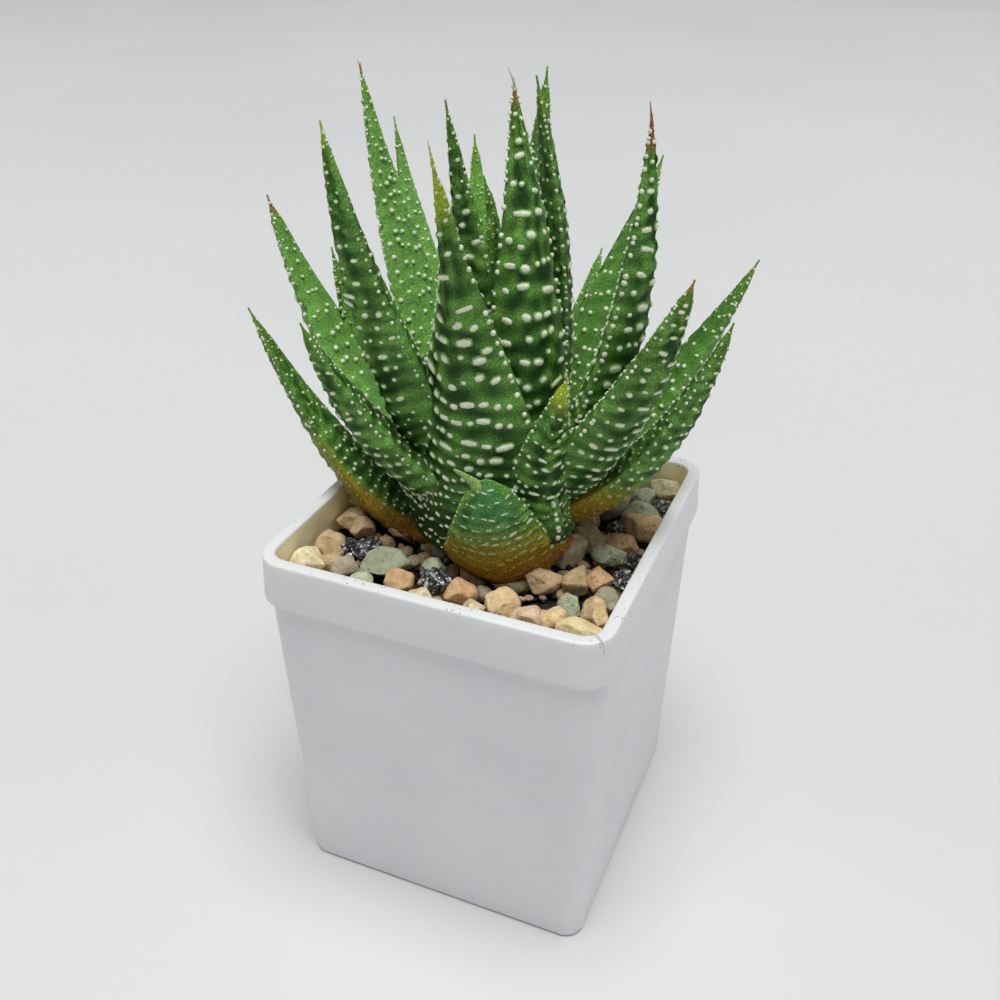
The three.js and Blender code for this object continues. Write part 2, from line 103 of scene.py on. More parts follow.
# One row a leaf, under its node's name without "leaf_": azimuth, reach and rise of the tip, lean of the base,
# rise and reach of the root, width, depth, sway of the tip, fullness of the taper. Rises are above the soil.
# The blades are whole here: they aren't cut back where they cross, as the solids are.
LEAVES = {
    "outer_01": (190, 40.3, 36, -42.5, 4.5, 5, 17, 8, 0, 1.0),
    "outer_02": (218, 29.5, 41, 21, 7.4, 2, 18, 8, 2.5, 1.15),
    "outer_03": (292, 18.4, 21.4, -8, 2.8, 7.5, 21, 8.2, -2.6, 0.55),
    "outer_04": (314, 19.8, 36.5, 84, 3, 11.5, 15.2, 7, 1, 1.3),
    "outer_05": (4, 32.2, 40, 16, 7, 6, 14.5, 7.2, 3, 1.0),
    "outer_06": (36, 39, 43.5, 30, 5.5, 6, 16, 7, 0, 1.1),
    "outer_07": (75, 36, 27, 5, 4, 6, 13, 5.5, 1, 1.2),
    "outer_08": (147, 36, 24, 0, 4, 6, 13, 5.5, -1, 1.2),
    "outer_09": (115, 41, 38, 20, 5, 6, 13, 5.5, 0, 1.2),
    "middle_01": (176, 41.3, 50.5, 18, 7, 6, 17, 7.5, -0.4, 1.1),
    "middle_02": (223, 24.6, 67, 54.5, 10, 4.5, 12.5, 10, -0.2, 1),
    "middle_03": (347, 30.1, 50.2, 40, 10, 5, 18, 9.5, -2, 0.9),
    "middle_04": (168, 34, 42, 0, 6, 6, 14, 6, -0.6, 1.2),
    "middle_05": (68, 39, 54, 50, 7, 6, 16, 7, 2.7, 1.05),
    "middle_06": (90, 42, 36, 17, 5, 6, 13, 5.5, -1.1, 1.2),
    "middle_07": (258, 22.1, 65.5, 96, 4.5, 10.5, 33, 9.5, 4.7, 2.3),
    "middle_08": (139, 41.3, 58.5, 28, 9, 6, 14, 6, 0, 1.2),
    "middle_09": (3, 19.6, 67.5, 55, 9, 6, 18, 8, -1, 1.15),
    "middle_10": (161, 28.3, 69.5, 54, 9, 5, 14, 6.5, 0, 1.15),
    "inner_01": (312, 0, 70.5, 55, 10, 2, 18, 7.5, 1, 1.2),
    "inner_02": (88, 14, 70, 80, 9, 5, 14, 6, 0, 1.3),
    "inner_03": (244, 9.8, 69, 89, 11, 4, 14, 6, -0.4, 1.2),
    "inner_04": (125, 22, 59, 52, 11, 4, 11, 5, 0, 1.3),
    "inner_05": (50, 4.6, 70.5, 74, 10, 5, 14, 6, 0.2, 1.2),
    "inner_06": (105, 9, 56, 76, 12, 3, 9, 4, 0, 1.3),
    "inner_07": (200, 3, 58, 105, 13, 2.5, 6.5, 3.4, -0.3, 1.3),
    "inner_08": (60, -2, 54, 112, 14, 2, 5.5, 3, 0, 1.3),
}

# Looks of the leaves: share of the length that is yellow at the base, and colour and share of the dried tip
BASE_SHARE = {
    "outer_01": 0.9, "outer_02": 0.3, "outer_03": 0.9, "outer_04": 0.12,
    "outer_05": 0.5, "outer_06": 0.25, "outer_07": 0.3, "outer_08": 0.35,
    "outer_09": 0.2, "middle_01": 0.2, "middle_04": 0.25, "middle_06": 0.25,
}
PALE_YELLOW = (0.48, 0.50, 0.17)
YELLOW_GREEN = (0.40, 0.52, 0.040)
RED_BROWN = (0.34, 0.115, 0.045)
TAN_BROWN = (0.42, 0.22, 0.09)
DRY_WHITE = (0.66, 0.60, 0.48)
FIBRE = (0.42, 0.33, 0.20)
TIP_LOOK = {
    "outer_04": (YELLOW_GREEN, 0.12),
    "middle_03": (TAN_BROWN, 0.025), "middle_07": (YELLOW_GREEN, 0.11),
    "middle_09": (RED_BROWN, 0.05), "middle_01": (RED_BROWN, 0.035),
    "middle_02": (YELLOW_GREEN, 0.04), "inner_01": (RED_BROWN, 0.035),
    "middle_10": (TAN_BROWN, 0.02),
}

# Thin points beyond the blade: how far back it starts, its way at first and in all, half-width and colour
HOOK_GREEN = (0.26, 0.42, 0.13)
TIP_SPIKES = {
    "inner_01": (1.8, (0.5, 0.2, 1.4), (-0.9, -0.4, 3.1), 0.30, DRY_WHITE),
    "outer_03": (4.0, (-0.5, -0.4, 4.6), (-4.4, -2.0, 5.4), 1.8, HOOK_GREEN),
    "middle_09": (1.5, (0.0, 0.0, 1.6), (-0.4, -0.2, 3.2), 0.3, RED_BROWN),
    "middle_07": (1.5, (-0.1, 0.0, 1.6), (-0.5, -0.2, 3.0), 0.28, PALE_YELLOW),
    "middle_10": (1.5, (0.0, 0.0, 1.2), (-0.4, -0.2, 2.0), 0.22, TAN_BROWN),
}

# Colours of the leaf skin, with a painted shade green for the hollows and the bases and a painted light green
# for the ridges
PAINTED_SHADE_GREEN = (0.006, 0.032, 0.004)
MIDDLE_GREEN = (0.047, 0.165, 0.016)
LIT_RIDGE_GREEN = (0.155, 0.370, 0.064)
SOFT_GREEN = (0.230, 0.520, 0.110)
YOUNG_GREEN = (0.240, 0.560, 0.090)
BLUE_GREEN = (0.066, 0.280, 0.100)
TIP_GREEN = (0.150, 0.300, 0.025)
OLIVE_YELLOW = (0.36, 0.27, 0.014)
ORANGE_BROWN = (0.36, 0.130, 0.010)

# Leaves that differ: orange at the base, pale when young, how much painted light the back-lit ones get as a
# paler, brighter green, blue-green in the middle, with long warts, and with dry fibres on them
ORANGE_BASES = {"outer_01", "outer_02", "outer_03"}
YOUNG_LEAVES = {"inner_04", "inner_06", "inner_07", "inner_08"}
BACKLIT_LEAVES = {
    "middle_10": 1.0, "middle_01": 0.7, "middle_08": 0.9, "middle_04": 0.6,
    "inner_02": 0.5, "middle_05": 0.25, "middle_06": 0.4, "outer_06": 0.2,
    "outer_09": 0.4,
}
BLUE_LEAVES = {"outer_03"}
DASHED_LEAVES = {"outer_03"}
FIBRE_LEAVES = {"outer_02"}

# Where a leaf's warts differ: share of the usual space between rows, of the usual size and of the whiteness
PITCH_SHARE = {
    "outer_03": 0.52, "outer_01": 0.85, "outer_02": 0.75, "outer_04": 0.8,
    "outer_05": 0.85, "middle_03": 0.75, "middle_09": 0.8, "middle_07": 0.95,
    "middle_10": 0.85,
}
WART_SHARE = {
    "outer_03": 0.5, "outer_04": 0.72, "outer_02": 0.72, "outer_01": 0.75,
    "outer_05": 0.8, "middle_03": 0.78, "middle_09": 1.05, "middle_10": 1.15,
    "middle_08": 1.1,
}
WHITE_SHARE = {"outer_03": 0.62, **dict.fromkeys(YOUNG_LEAVES, 0.6)}

# Stones: x, y, length, width, turn of the length from +X, as in the solids
TAN_STONES = [
    (-22.3, -19.6, 6.4, 4.6, 10), (-22, -13.5, 5.4, 4.6, 40), (-19.6, -18.2, 4.8, 4, 0),
    (-17, -18.8, 4.6, 4.4, 60), (-15.6, -22.3, 4.6, 3.4, 15), (-22.6, -5.6, 5.6, 4.6, 80),
    (-20, -7.8, 4.4, 4.2, 0), (-15, -9.7, 3.4, 3, 0), (-7.6, -18.6, 4.6, 4.4, 0), (-3, -21.6, 5, 3.8, -20),
    (2.2, -18, 5, 4.6, 60), (5.4, -21.2, 4.4, 3.8, 70), (8.9, -19, 5, 4.8, 70), (13.4, -20.6, 5.4, 4.8, 20),
    (16.9, -18.9, 5, 4, 80), (21.6, -20.6, 7, 4.8, 15), (22.3, -15.2, 6.4, 4.4, -60), (22.6, -11, 4, 3.8, 0),
    (20, -6.6, 5, 4.2, 60), (16.9, -8.4, 5, 4.6, 60), (20, 4, 6.6, 3.6, 0), (21.6, 9.8, 7, 4.8, 10),
    (22, 22.3, 5.4, 5.2, 0), (4.8, -15.8, 3, 2.6, 0),
]
GREEN_STONES = [
    (-10.8, -15.4, 9, 5.2, 35), (-13.2, -20.4, 4, 3.2, 60), (-4.6, -12.8, 3.8, 3.6, 90),
    (18, -14.2, 4.4, 3.6, -50), (19.4, 0.2, 6, 4, -20), (19.8, 14.2, 7, 4, 0), (19.5, 18.6, 4.4, 4, 30),
    (-19.5, 8, 5.5, 4.2, 40), (-8.5, 21, 5.6, 4.4, -10), (9, 21, 5, 4.4, 70),
]
BLACK_STONES = [
    (-19.2, -12.8, 3.6, 3.4, 0), (-15.2, -13.6, 5.2, 4.8, 20), (-2.4, -16.9, 5.4, 5, 60),
    (23.2, -5.6, 4.4, 3.8, 90), (18.2, 7.8, 3.6, 3.4, 0), (23.4, 0.8, 3.6, 3.4, 0), (23.2, 17.6, 3.8, 3.4, 0),
    (-14, 17.5, 4.8, 4, 0), (3.5, 22, 4.6, 4, 30), (-22.2, 15.5, 4.6, 4.2, 80),
]
STONE_SPACING = 5.8
STONE_SIZE = 6.4
STONE_REST = 0.44
STONE_ROOM = 0.72
STONE_SEED = 7
PLANT_RADIUS = 9
STONE_LOOK_SEED = 91

# How uneven the skin of a loose stone and of a dark one is
EVEN_SKIN = 0.035
ROUGH_SKIN = 0.11

# Stones this close to the plant lie deeper and are painted darker
NEAR_PLANT = 14
NEAR_SUNK = 1.4
NEAR_SHADE = 0.78

# Small chips of stone that fill the gaps, and a dry fibre over the pot's near corner
CHIP_COUNT = 300
CHIP_SEED = 23
CHIP_INSET = 1.6
STRAY_FIBRE = [
    (24.2, -24.6, 63.1), (25.4, -25.3, 63.45), (26.3, -25.9, 63.2), (26.8, -26.2, 62.5), (27.0, -26.5, 61.6),
]

CREAM = (0.86, 0.76, 0.50)
TAN = (0.80, 0.61, 0.35)
GREY_TAN = (0.60, 0.53, 0.40)
ORANGE = (0.76, 0.50, 0.28)
PINKISH = (0.78, 0.58, 0.42)
YELLOW_CREAM = (0.86, 0.72, 0.42)
OLIVE_GREY = (0.44, 0.43, 0.32)
GREY_GREEN = (0.50, 0.56, 0.40)
SLATE = (0.13, 0.132, 0.138)
GREY = (0.26, 0.26, 0.27)
PALER_STONES = {"stone_black_07": GREY}
LISTED_TANS = [
    CREAM, TAN, TAN, GREY_TAN, TAN, TAN, TAN, ORANGE, ORANGE, CREAM, ORANGE, CREAM, TAN, PINKISH, TAN,
    YELLOW_CREAM, TAN, OLIVE_GREY, ORANGE, TAN, ORANGE, TAN, CREAM, GREY_TAN,
]
RULED_TANS = [TAN, CREAM, TAN, ORANGE, YELLOW_CREAM, GREY_TAN, TAN, PINKISH]


def seeded_random(seed):
    """A seeded draw from 0 to 1, by the rule that shakes the stones in the solids"""
    mask = 0xFFFFFFFF
    state = seed

    def draw():
        nonlocal state
        state = (state + 0x6D2B79F5) & mask
        mixed = ((state ^ (state >> 15)) * (1 | state)) & mask
        mixed = ((mixed + (((mixed ^ (mixed >> 7)) * (61 | mixed)) & mask)) & mask) ^ mixed
        return (mixed ^ (mixed >> 14)) / 4294967296

    return draw


def mix(a, b, share):
    """Blend of two colours or two arrays of them"""
    share = np.asarray(share, float)
    if share.ndim > 0:
        share = share[..., None]
    return np.asarray(a, float) * (1 - share) + np.asarray(b, float) * share


def smooth_step(value, low, high):
    t = np.clip((np.asarray(value, float) - low) / (high - low), 0, 1)
    return t * t * (3 - 2 * t)


def add_object(name, data):
    made = bpy.data.objects.new(name, data)
    bpy.context.scene.collection.objects.link(made)
    return made


class Mesh:
    """Points in millimetres, faces, and the colour and whiteness of each point, gathered into one object"""

    def __init__(self):
        self.points = []
        self.faces = []
        self.tints = []
        self.whites = []
        self.count = 0

    def add(self, points, faces, tint=(1, 1, 1), white=0.0):
        points = np.asarray(points, float).reshape(-1, 3)
        self.points.append(points)
        self.faces += [tuple(int(i) + self.count for i in face) for face in faces]
        self.tints.append(np.broadcast_to(np.asarray(tint, float), (len(points), 3)))
        self.whites.append(np.broadcast_to(np.asarray(white, float), (len(points),)))
        self.count += len(points)

    def make(self, name, material, nodes, sharp_angle=None):
        points = np.concatenate(self.points) * MM
        mesh = bpy.data.meshes.new(name)
        mesh.from_pydata(points.tolist(), [], self.faces)
        mesh.polygons.foreach_set("use_smooth", [True] * len(mesh.polygons))
        if sharp_angle is not None:
            mesh.set_sharp_from_angle(angle=math.radians(sharp_angle))
        tint = mesh.attributes.new("tint", "FLOAT_COLOR", "POINT")
        colours = np.concatenate([np.concatenate(self.tints), np.ones((self.count, 1))], axis=1)
        tint.data.foreach_set("color", colours.astype(np.float32).ravel())
        white = mesh.attributes.new("white", "FLOAT", "POINT")
        white.data.foreach_set("value", np.concatenate(self.whites).astype(np.float32))
        mesh.materials.append(material)
        piece = add_object(name, mesh)
        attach(piece, "root")
        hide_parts(*nodes)
        return piece


# Materials
class Nodes:
    """Short names for the nodes of one material"""

    def __init__(self, name):
        self.material = bpy.data.materials.new(name)
        self.material.use_nodes = True
        self.tree = self.material.node_tree
        self.shader = self.tree.nodes["Principled BSDF"]

    def add(self, kind, **settings):
        node = self.tree.nodes.new(kind)
        for key, value in settings.items():
            if hasattr(node, key):
                setattr(node, key, value)
            else:
                node.inputs[key.replace("_", " ")].default_value = value
        return node

    def put(self, value, socket):
        """Sets a socket to a number or a colour, or links another node's output to it"""
        if isinstance(value, (int, float)):
            socket.default_value = value
        elif isinstance(value, tuple):
            socket.default_value = (*value, 1)
        else:
            self.tree.links.new(value, socket)

    def place(self):
        return self.add("ShaderNodeTexCoord").outputs["Object"]

    def axis(self, name):
        node = self.add("ShaderNodeSeparateXYZ")
        self.put(self.place(), node.inputs[0])
        return node.outputs[name]

    def noise(self, scale, detail=3.0, rough=0.55):
        node = self.add("ShaderNodeTexNoise", Scale=scale, Detail=detail, Roughness=rough)
        self.put(self.place(), node.inputs["Vector"])
        return node.outputs["Fac"]

    def cells(self, scale):
        node = self.add("ShaderNodeTexVoronoi", Scale=scale)
        self.put(self.place(), node.inputs["Vector"])
        return node.outputs["Distance"]

    def attribute(self, name, output):
        return self.add("ShaderNodeAttribute", attribute_name=name).outputs[output]

    def remap(self, source, low, high, new_low=0.0, new_high=1.0):
        node = self.add("ShaderNodeMapRange")
        node.interpolation_type = "SMOOTHSTEP"
        for index, value in enumerate((source, low, high, new_low, new_high)):
            self.put(value, node.inputs[index])
        return node.outputs[0]

    def math(self, operation, a, b):
        node = self.add("ShaderNodeMath", operation=operation)
        self.put(a, node.inputs[0])
        self.put(b, node.inputs[1])
        return node.outputs[0]

    def blend(self, share, a, b, kind="MIX"):
        node = self.add("ShaderNodeMix", data_type="RGBA", blend_type=kind)
        for index, value in ((0, share), (6, a), (7, b)):
            self.put(value, node.inputs[index])
        return node.outputs[2]

    def times(self, a, b):
        return self.math("MULTIPLY", a, b)

    def shade(self, colour, factor):
        return self.blend(1.0, colour, factor, "MULTIPLY")

    def bump(self, height, strength, distance, under=None):
        node = self.add("ShaderNodeBump", Strength=strength, Distance=distance)
        self.put(height, node.inputs["Height"])
        if under is not None:
            self.put(under, node.inputs["Normal"])
        return node.outputs["Normal"]

    def subsurface(self, weight, radius, scale):
        for name, value in (("Weight", weight), ("Radius", radius), ("Scale", scale)):
            self.shader.inputs[f"Subsurface {name}"].default_value = value

    def finish(self, colour, roughness, normal):
        for name, value in (("Base Color", colour), ("Roughness", roughness), ("Normal", normal)):
            self.put(value, self.shader.inputs[name])
        return self.material


DULL_WART = (0.66, 0.73, 0.50)
WHITE_WART = (0.84, 0.88, 0.70)
CRUMB_BROWN = (0.055, 0.030, 0.014)
CRUMBS_END = 69 * MM
CRUMBS_FULL = 59 * MM


def leaf_material():
    n = Nodes("leaf_skin")
    tint = n.attribute("tint", "Color")
    white = n.attribute("white", "Fac")
    grain = n.cells(4600)
    patches = n.noise(420, 4.0)
    fine = n.noise(2600, 2.0)
    speckled = n.blend(n.remap(grain, 0.05, 0.6), n.shade(tint, (2.25, 1.85, 2.05)),
                       n.shade(tint, (0.72, 0.78, 0.68)))
    patched = n.blend(n.remap(patches, 0.35, 0.65), n.shade(speckled, (0.82, 0.86, 0.9)), speckled)
    pale = n.blend(n.remap(fine, 0.3, 0.7), DULL_WART, WHITE_WART)
    skinned = n.blend(white, patched, pale)
    # Crumbs of soil cling to the skin just above the soil
    low = n.remap(n.axis("Z"), CRUMBS_END, CRUMBS_FULL)
    crumbs = n.times(n.remap(n.cells(1100), 0.32, 0.2), n.remap(n.noise(260, 3.0), 0.5, 0.62))
    colour = n.blend(n.times(n.times(crumbs, low), 0.85), skinned, CRUMB_BROWN)
    skin_normal = n.bump(grain, 0.55, 0.00012)
    normal = n.bump(fine, 0.25, 0.00008, skin_normal)
    roughness = n.remap(white, 0, 1, 0.62, 0.42)
    n.shader.inputs["Specular IOR Level"].default_value = 0.22
    n.subsurface(0.08, (0.5, 1.0, 0.25), 0.0008)
    return n.finish(colour, roughness, normal)


def stone_material():
    n = Nodes("loose_stone")
    tint = n.attribute("tint", "Color")
    mottle = n.noise(700, 5.0, 0.65)
    fine = n.noise(3800, 3.0)
    pits = n.cells(900)
    mottled = n.blend(n.remap(mottle, 0.3, 0.7), n.shade(tint, (0.78, 0.72, 0.66)),
                      n.shade(tint, (1.1, 1.1, 1.08)))
    pitted = n.blend(n.remap(pits, 0.02, 0.22), n.shade(mottled, (0.5, 0.42, 0.34)), mottled)
    colour = n.blend(n.remap(fine, 0.3, 0.72), n.shade(pitted, (0.78, 0.78, 0.78)), pitted)
    coarse_normal = n.bump(mottle, 0.7, 0.0007)
    normal = n.bump(n.remap(pits, 0.0, 0.3), 0.6, 0.0002, n.bump(fine, 0.5, 0.0001, coarse_normal))
    return n.finish(colour, 0.82, normal)


SPARKLE = (0.86, 0.88, 0.90)


def dark_stone_material():
    n = Nodes("sparkling_stone")
    tint = n.attribute("tint", "Color")
    mottle = n.noise(900, 4.0, 0.6)
    flecks = n.cells(1500)
    grains = n.noise(1000, 3.0)
    base = n.blend(n.remap(mottle, 0.35, 0.7), n.shade(tint, (0.5, 0.5, 0.5)), tint)
    # Painted highlight: the mica flecks are painted near white, standing in for their glints over the grey
    # stone
    lit = n.times(n.remap(flecks, 0.6, 0.3), n.remap(grains, 0.44, 0.54))
    colour = n.blend(lit, base, SPARKLE)
    normal = n.bump(n.cells(1100), 1.0, 0.0009, n.bump(mottle, 0.9, 0.0008))
    roughness = n.remap(grains, 0.4, 0.6, 0.5, 0.16)
    n.shader.inputs["Metallic"].default_value = 0.4
    return n.finish(colour, roughness, n.bump(flecks, 1.0, 0.0004, normal))


WET_SOIL = (0.006, 0.005, 0.0045)
DRY_SOIL = (0.035, 0.028, 0.022)
PALE_GRIT = (0.12, 0.10, 0.08)


def soil_material():
    n = Nodes("dark_soil")
    lumps = n.noise(650, 5.0, 0.7)
    grit = n.cells(1700)
    base = n.blend(n.remap(lumps, 0.35, 0.7), WET_SOIL, DRY_SOIL)
    colour = n.blend(n.remap(grit, 0.13, 0.05), base, PALE_GRIT)
    normal = n.bump(lumps, 0.9, 0.0008)
    return n.finish(colour, 0.9, n.bump(grit, 0.6, 0.0003, normal))


STEM_BROWN = (0.12, 0.06, 0.02)
STEM_STRAW = (0.30, 0.19, 0.07)


def stem_material():
    n = Nodes("dry_stem")
    fibres = n.noise(900, 4.0)
    colour = n.blend(n.remap(fibres, 0.3, 0.7), STEM_BROWN, STEM_STRAW)
    return n.finish(colour, 0.8, n.bump(fibres, 0.5, 0.0004))


# Pot colours, and the heights and reach between which the rim's dirt and the painted glow on the inner wall
# fade in
COOL_WHITE = (0.73, 0.735, 0.75)
PALE_WHITE = (0.77, 0.775, 0.785)
INNER_GLOW_CREAM = (0.97, 0.87, 0.66)
DIRT_BROWN = (0.16, 0.10, 0.05)
RIM_DIRT = ((POT_HEIGHT - 1.5) * MM, (POT_HEIGHT - 0.2) * MM)
INNER_TOP = (POT_HEIGHT * MM, (POT_HEIGHT - 0.8) * MM)
INNER_FOOT = (54 * MM, 55.5 * MM)
INNER_REACH = (25.8 * MM, 25.5 * MM)


def pot_material():
    n = Nodes("white_plastic")
    height = n.axis("Z")
    broad = n.noise(45, 3.0)
    fine = n.noise(1500, 2.0)
    dirt = n.cells(1500)
    clumps = n.noise(160, 3.0)
    white = n.blend(n.remap(broad, 0.3, 0.7), COOL_WHITE, PALE_WHITE)
    near_rim = n.remap(height, *RIM_DIRT)
    specks = n.times(n.remap(dirt, 0.2, 0.12), n.remap(clumps, 0.46, 0.56))
    soiled = n.times(specks, n.math("ADD", n.times(near_rim, 0.85), 0.12))
    # Painted light: the upper inner wall is painted a bright warm cream in place of the light that falls on
    # it and through the plastic
    reach = n.math("MAXIMUM", n.math("ABSOLUTE", n.axis("X"), 0), n.math("ABSOLUTE", n.axis("Y"), 0))
    upper = n.times(n.remap(height, *INNER_TOP), n.remap(height, *INNER_FOOT))
    inside = n.times(n.remap(reach, *INNER_REACH), upper)
    inner_glow = n.blend(inside, white, INNER_GLOW_CREAM)
    colour = n.blend(soiled, inner_glow, DIRT_BROWN)
    n.subsurface(0.3, (1.0, 0.85, 0.65), 0.003)
    roughness = n.remap(fine, 0.3, 0.7, 0.3, 0.4)
    normal = n.bump(fine, 0.06, 0.0001)
    return n.finish(colour, roughness, n.bump(broad, 0.10, 0.0012, normal))


FLOOR_GREY = (0.62, 0.625, 0.63)
FLOOR_WHITE = (0.65, 0.653, 0.656)


def floor_material():
    n = Nodes("pale_floor")
    broad = n.noise(3.0, 2.0)
    fine = n.noise(220, 3.0)
    colour = n.blend(n.remap(broad, 0.3, 0.7), FLOOR_GREY, FLOOR_WHITE)
    return n.finish(colour, n.remap(fine, 0.3, 0.7, 0.55, 0.65), n.bump(fine, 0.03, 0.0002))


LEAF_SKIN = leaf_material()
LOOSE_STONE = stone_material()
DARK_STONE = dark_stone_material()
DARK_SOIL = soil_material()
DRY_STEM = stem_material()
WHITE_PLASTIC = pot_material()
PALE_FLOOR = floor_material()


# Pot
CORNER_STEPS = 14
SIDE_STOPS = (0.04, 0.5, 0.96)
ARC_STEPS = 5
QUARTERS = ((1, -1, -0.5), (1, 1, 0.0), (-1, 1, 0.5), (-1, -1, 1.0))


def tube_faces(rings, size, closed=True):
    """Faces between rings of points, and over both ends where it is closed"""
    faces = []
    for i in range(rings - 1):
        for j in range(size):
            k = (j + 1) % size
            faces.append((i * size + j, i * size + k, (i + 1) * size + k, (i + 1) * size + j))
    if closed:
        faces.append(tuple(range(size - 1, -1, -1)))
        faces.append(tuple((rings - 1) * size + j for j in range(size)))
    return faces


def rounded_square(side, corner, z):
    """Ring of points round a square with rounded corners, with some along each straight side"""
    reach = side / 2 - corner

    def on_corner(quarter, share):
        sign_x, sign_y, start = QUARTERS[quarter % 4]
        angle = (start + 0.5 * share) * math.pi
        return sign_x * reach + corner * math.cos(angle), sign_y * reach + corner * math.sin(angle), z

    points = []
    for quarter in range(4):
        points += [on_corner(quarter, k / CORNER_STEPS) for k in range(CORNER_STEPS + 1)]
        begin, end = points[-1], on_corner(quarter + 1, 0)
        for stop in SIDE_STOPS:
            points.append((begin[0] + (end[0] - begin[0]) * stop, begin[1] + (end[1] - begin[1]) * stop, z))
    return points


def body_side(z):
    return POT_BOTTOM_SIDE + (BODY_TOP_SIDE - POT_BOTTOM_SIDE) * z / RIM_LOW


def body_corner(z):
    return POT_BOTTOM_CORNER + (BODY_TOP_CORNER - POT_BOTTOM_CORNER) * z / RIM_LOW


def inner_side(z):
    return min(POT_TOP_SIDE - 2 * RIM_WALL, body_side(z) - 2 * BODY_WALL)


def inner_corner(z):
    return max(body_corner(z) - BODY_WALL, INNER_CORNER_LEAST)


def arc(side, corner, z, radius, start, end):
    """Rows of a pot profile round an edge: the side, corner and height at each step of a quarter turn"""
    rows = []
    for k in range(ARC_STEPS + 1):
        angle = math.radians(start + (end - start) * k / ARC_STEPS)
        reach = radius * math.cos(angle)
        rows.append((side + 2 * reach, corner + reach, z + radius * math.sin(angle)))
    return rows


def pot_profile():
    """Side, corner and height of each ring of the pot, up its outside and down its inside"""
    band_side = POT_TOP_SIDE + RIM_BAND_FLARE
    rim_side = POT_TOP_SIDE - 2 * RIM_WALL
    rim_corner = POT_TOP_CORNER - RIM_WALL
    foot, lip, edge = POT_BOTTOM_ROUND, RIM_LIP_ROUND, RIM_EDGE_ROUND
    return [
        (POT_BOTTOM_SIDE - FLOOR_INSET, POT_BOTTOM_CORNER - 2, 0),
        *arc(POT_BOTTOM_SIDE - 2 * foot, POT_BOTTOM_CORNER - foot, foot, foot, -90, 0),
        *[(body_side(z), body_corner(z), z) for z in BODY_LEVELS],
        (body_side(RIM_LOW) + 0.25, body_corner(RIM_LOW), RIM_LOW),
        *arc(band_side - 2 * lip, POT_TOP_CORNER - lip, RIM_LOW + lip, lip, -90, 0),
        (band_side - 0.1, POT_TOP_CORNER, RIM_LOW + 2.2),
        (POT_TOP_SIDE + 0.1, POT_TOP_CORNER, POT_HEIGHT - 2),
        *arc(POT_TOP_SIDE - 2 * edge, POT_TOP_CORNER - edge, POT_HEIGHT - edge, edge, 0, 90),
        (rim_side + 2 * edge + 1.2, rim_corner + edge + 0.3, POT_HEIGHT),
        *arc(rim_side + 2 * edge, rim_corner + edge, POT_HEIGHT - edge, -edge, -90, 0),
        *[(inner_side(z), inner_corner(z), z) for z in INNER_LEVELS],
        (inner_side(FLOOR_THICK) - 1.2, inner_corner(FLOOR_THICK), FLOOR_THICK),
        (inner_side(FLOOR_THICK) - FLOOR_INSET, INNER_CORNER_LEAST, FLOOR_THICK),
    ]


def drill_drains(pot):
    """Cuts the four drain holes through the pot's floor"""
    radius = DRAIN_RADIUS * MM
    drills = bmesh.new()
    for sign_x in (-1, 1):
        for sign_y in (-1, 1):
            made = bmesh.ops.create_cone(drills, cap_ends=True, segments=DRAIN_SIDES, radius1=radius,
                                         radius2=radius, depth=4 * FLOOR_THICK * MM)
            shift = Vector((sign_x * DRAIN_OFFSET, sign_y * DRAIN_OFFSET, FLOOR_THICK / 2)) * MM
            bmesh.ops.translate(drills, verts=made["verts"], vec=shift)
    mesh = bpy.data.meshes.new("drains")
    drills.to_mesh(mesh)
    drills.free()
    drill = add_object("drains", mesh)
    cut = pot.modifiers.new("drains", "BOOLEAN")
    cut.operation = "DIFFERENCE"
    cut.solver = "EXACT"
    cut.object = drill
    bpy.context.view_layer.update()
    graph = bpy.context.evaluated_depsgraph_get()
    bored = bpy.data.meshes.new_from_object(pot.evaluated_get(graph))
    pot.modifiers.clear()
    pot.data = bored
    bpy.data.objects.remove(drill)


def make_pot():
    rings = [rounded_square(*row) for row in pot_profile()]
    shell = Mesh()
    shell.add(rings, tube_faces(len(rings), len(rings[0])))
    pot = shell.make("pot_shell", WHITE_PLASTIC, ["pot"])
    drill_drains(pot)
    pot.data.polygons.foreach_set("use_smooth", [True] * len(pot.data.polygons))
    pot.data.set_sharp_from_angle(angle=math.radians(40))


# Soil
def soil_height(x, y):
    """Height of the lumpy surface, with broad and small lumps"""
    broad = 0.9 * noise.noise((x * 0.55, y * 0.55, 3.0))
    return SOIL_TOP - 0.5 + broad + 0.35 * noise.noise((x * 2, y * 2, 9.0))


def add_soil_block(soil, half):
    line = np.linspace(-half, half, SOIL_STEPS)
    top = np.array([(x, y, soil_height(x, y)) for x in line for y in line])
    last = SOIL_STEPS - 1
    corners = [i * SOIL_STEPS + j for i in range(last) for j in range(last)]
    soil.add(top, [(a, a + SOIL_STEPS, a + SOIL_STEPS + 1, a + 1) for a in corners])
    rim = [(i, 0) for i in range(last)] + [(last, j) for j in range(last)]
    rim += [(i, last) for i in range(last, 0, -1)] + [(0, j) for j in range(last, 0, -1)]
    upper = np.array([top[i * SOIL_STEPS + j] for i, j in rim])
    lower = upper.copy()
    lower[:, :2] *= (inner_side(FLOOR_THICK) / 2 - GAP - 1) / half
    lower[:, 2] = FLOOR_THICK + GAP
    size = len(rim)
    walls = [(k, size + k, size + (k + 1) % size, (k + 1) % size) for k in range(size)]
    walls.append(tuple(size + k for k in range(size)))
    soil.add(np.concatenate([upper, lower]), walls)


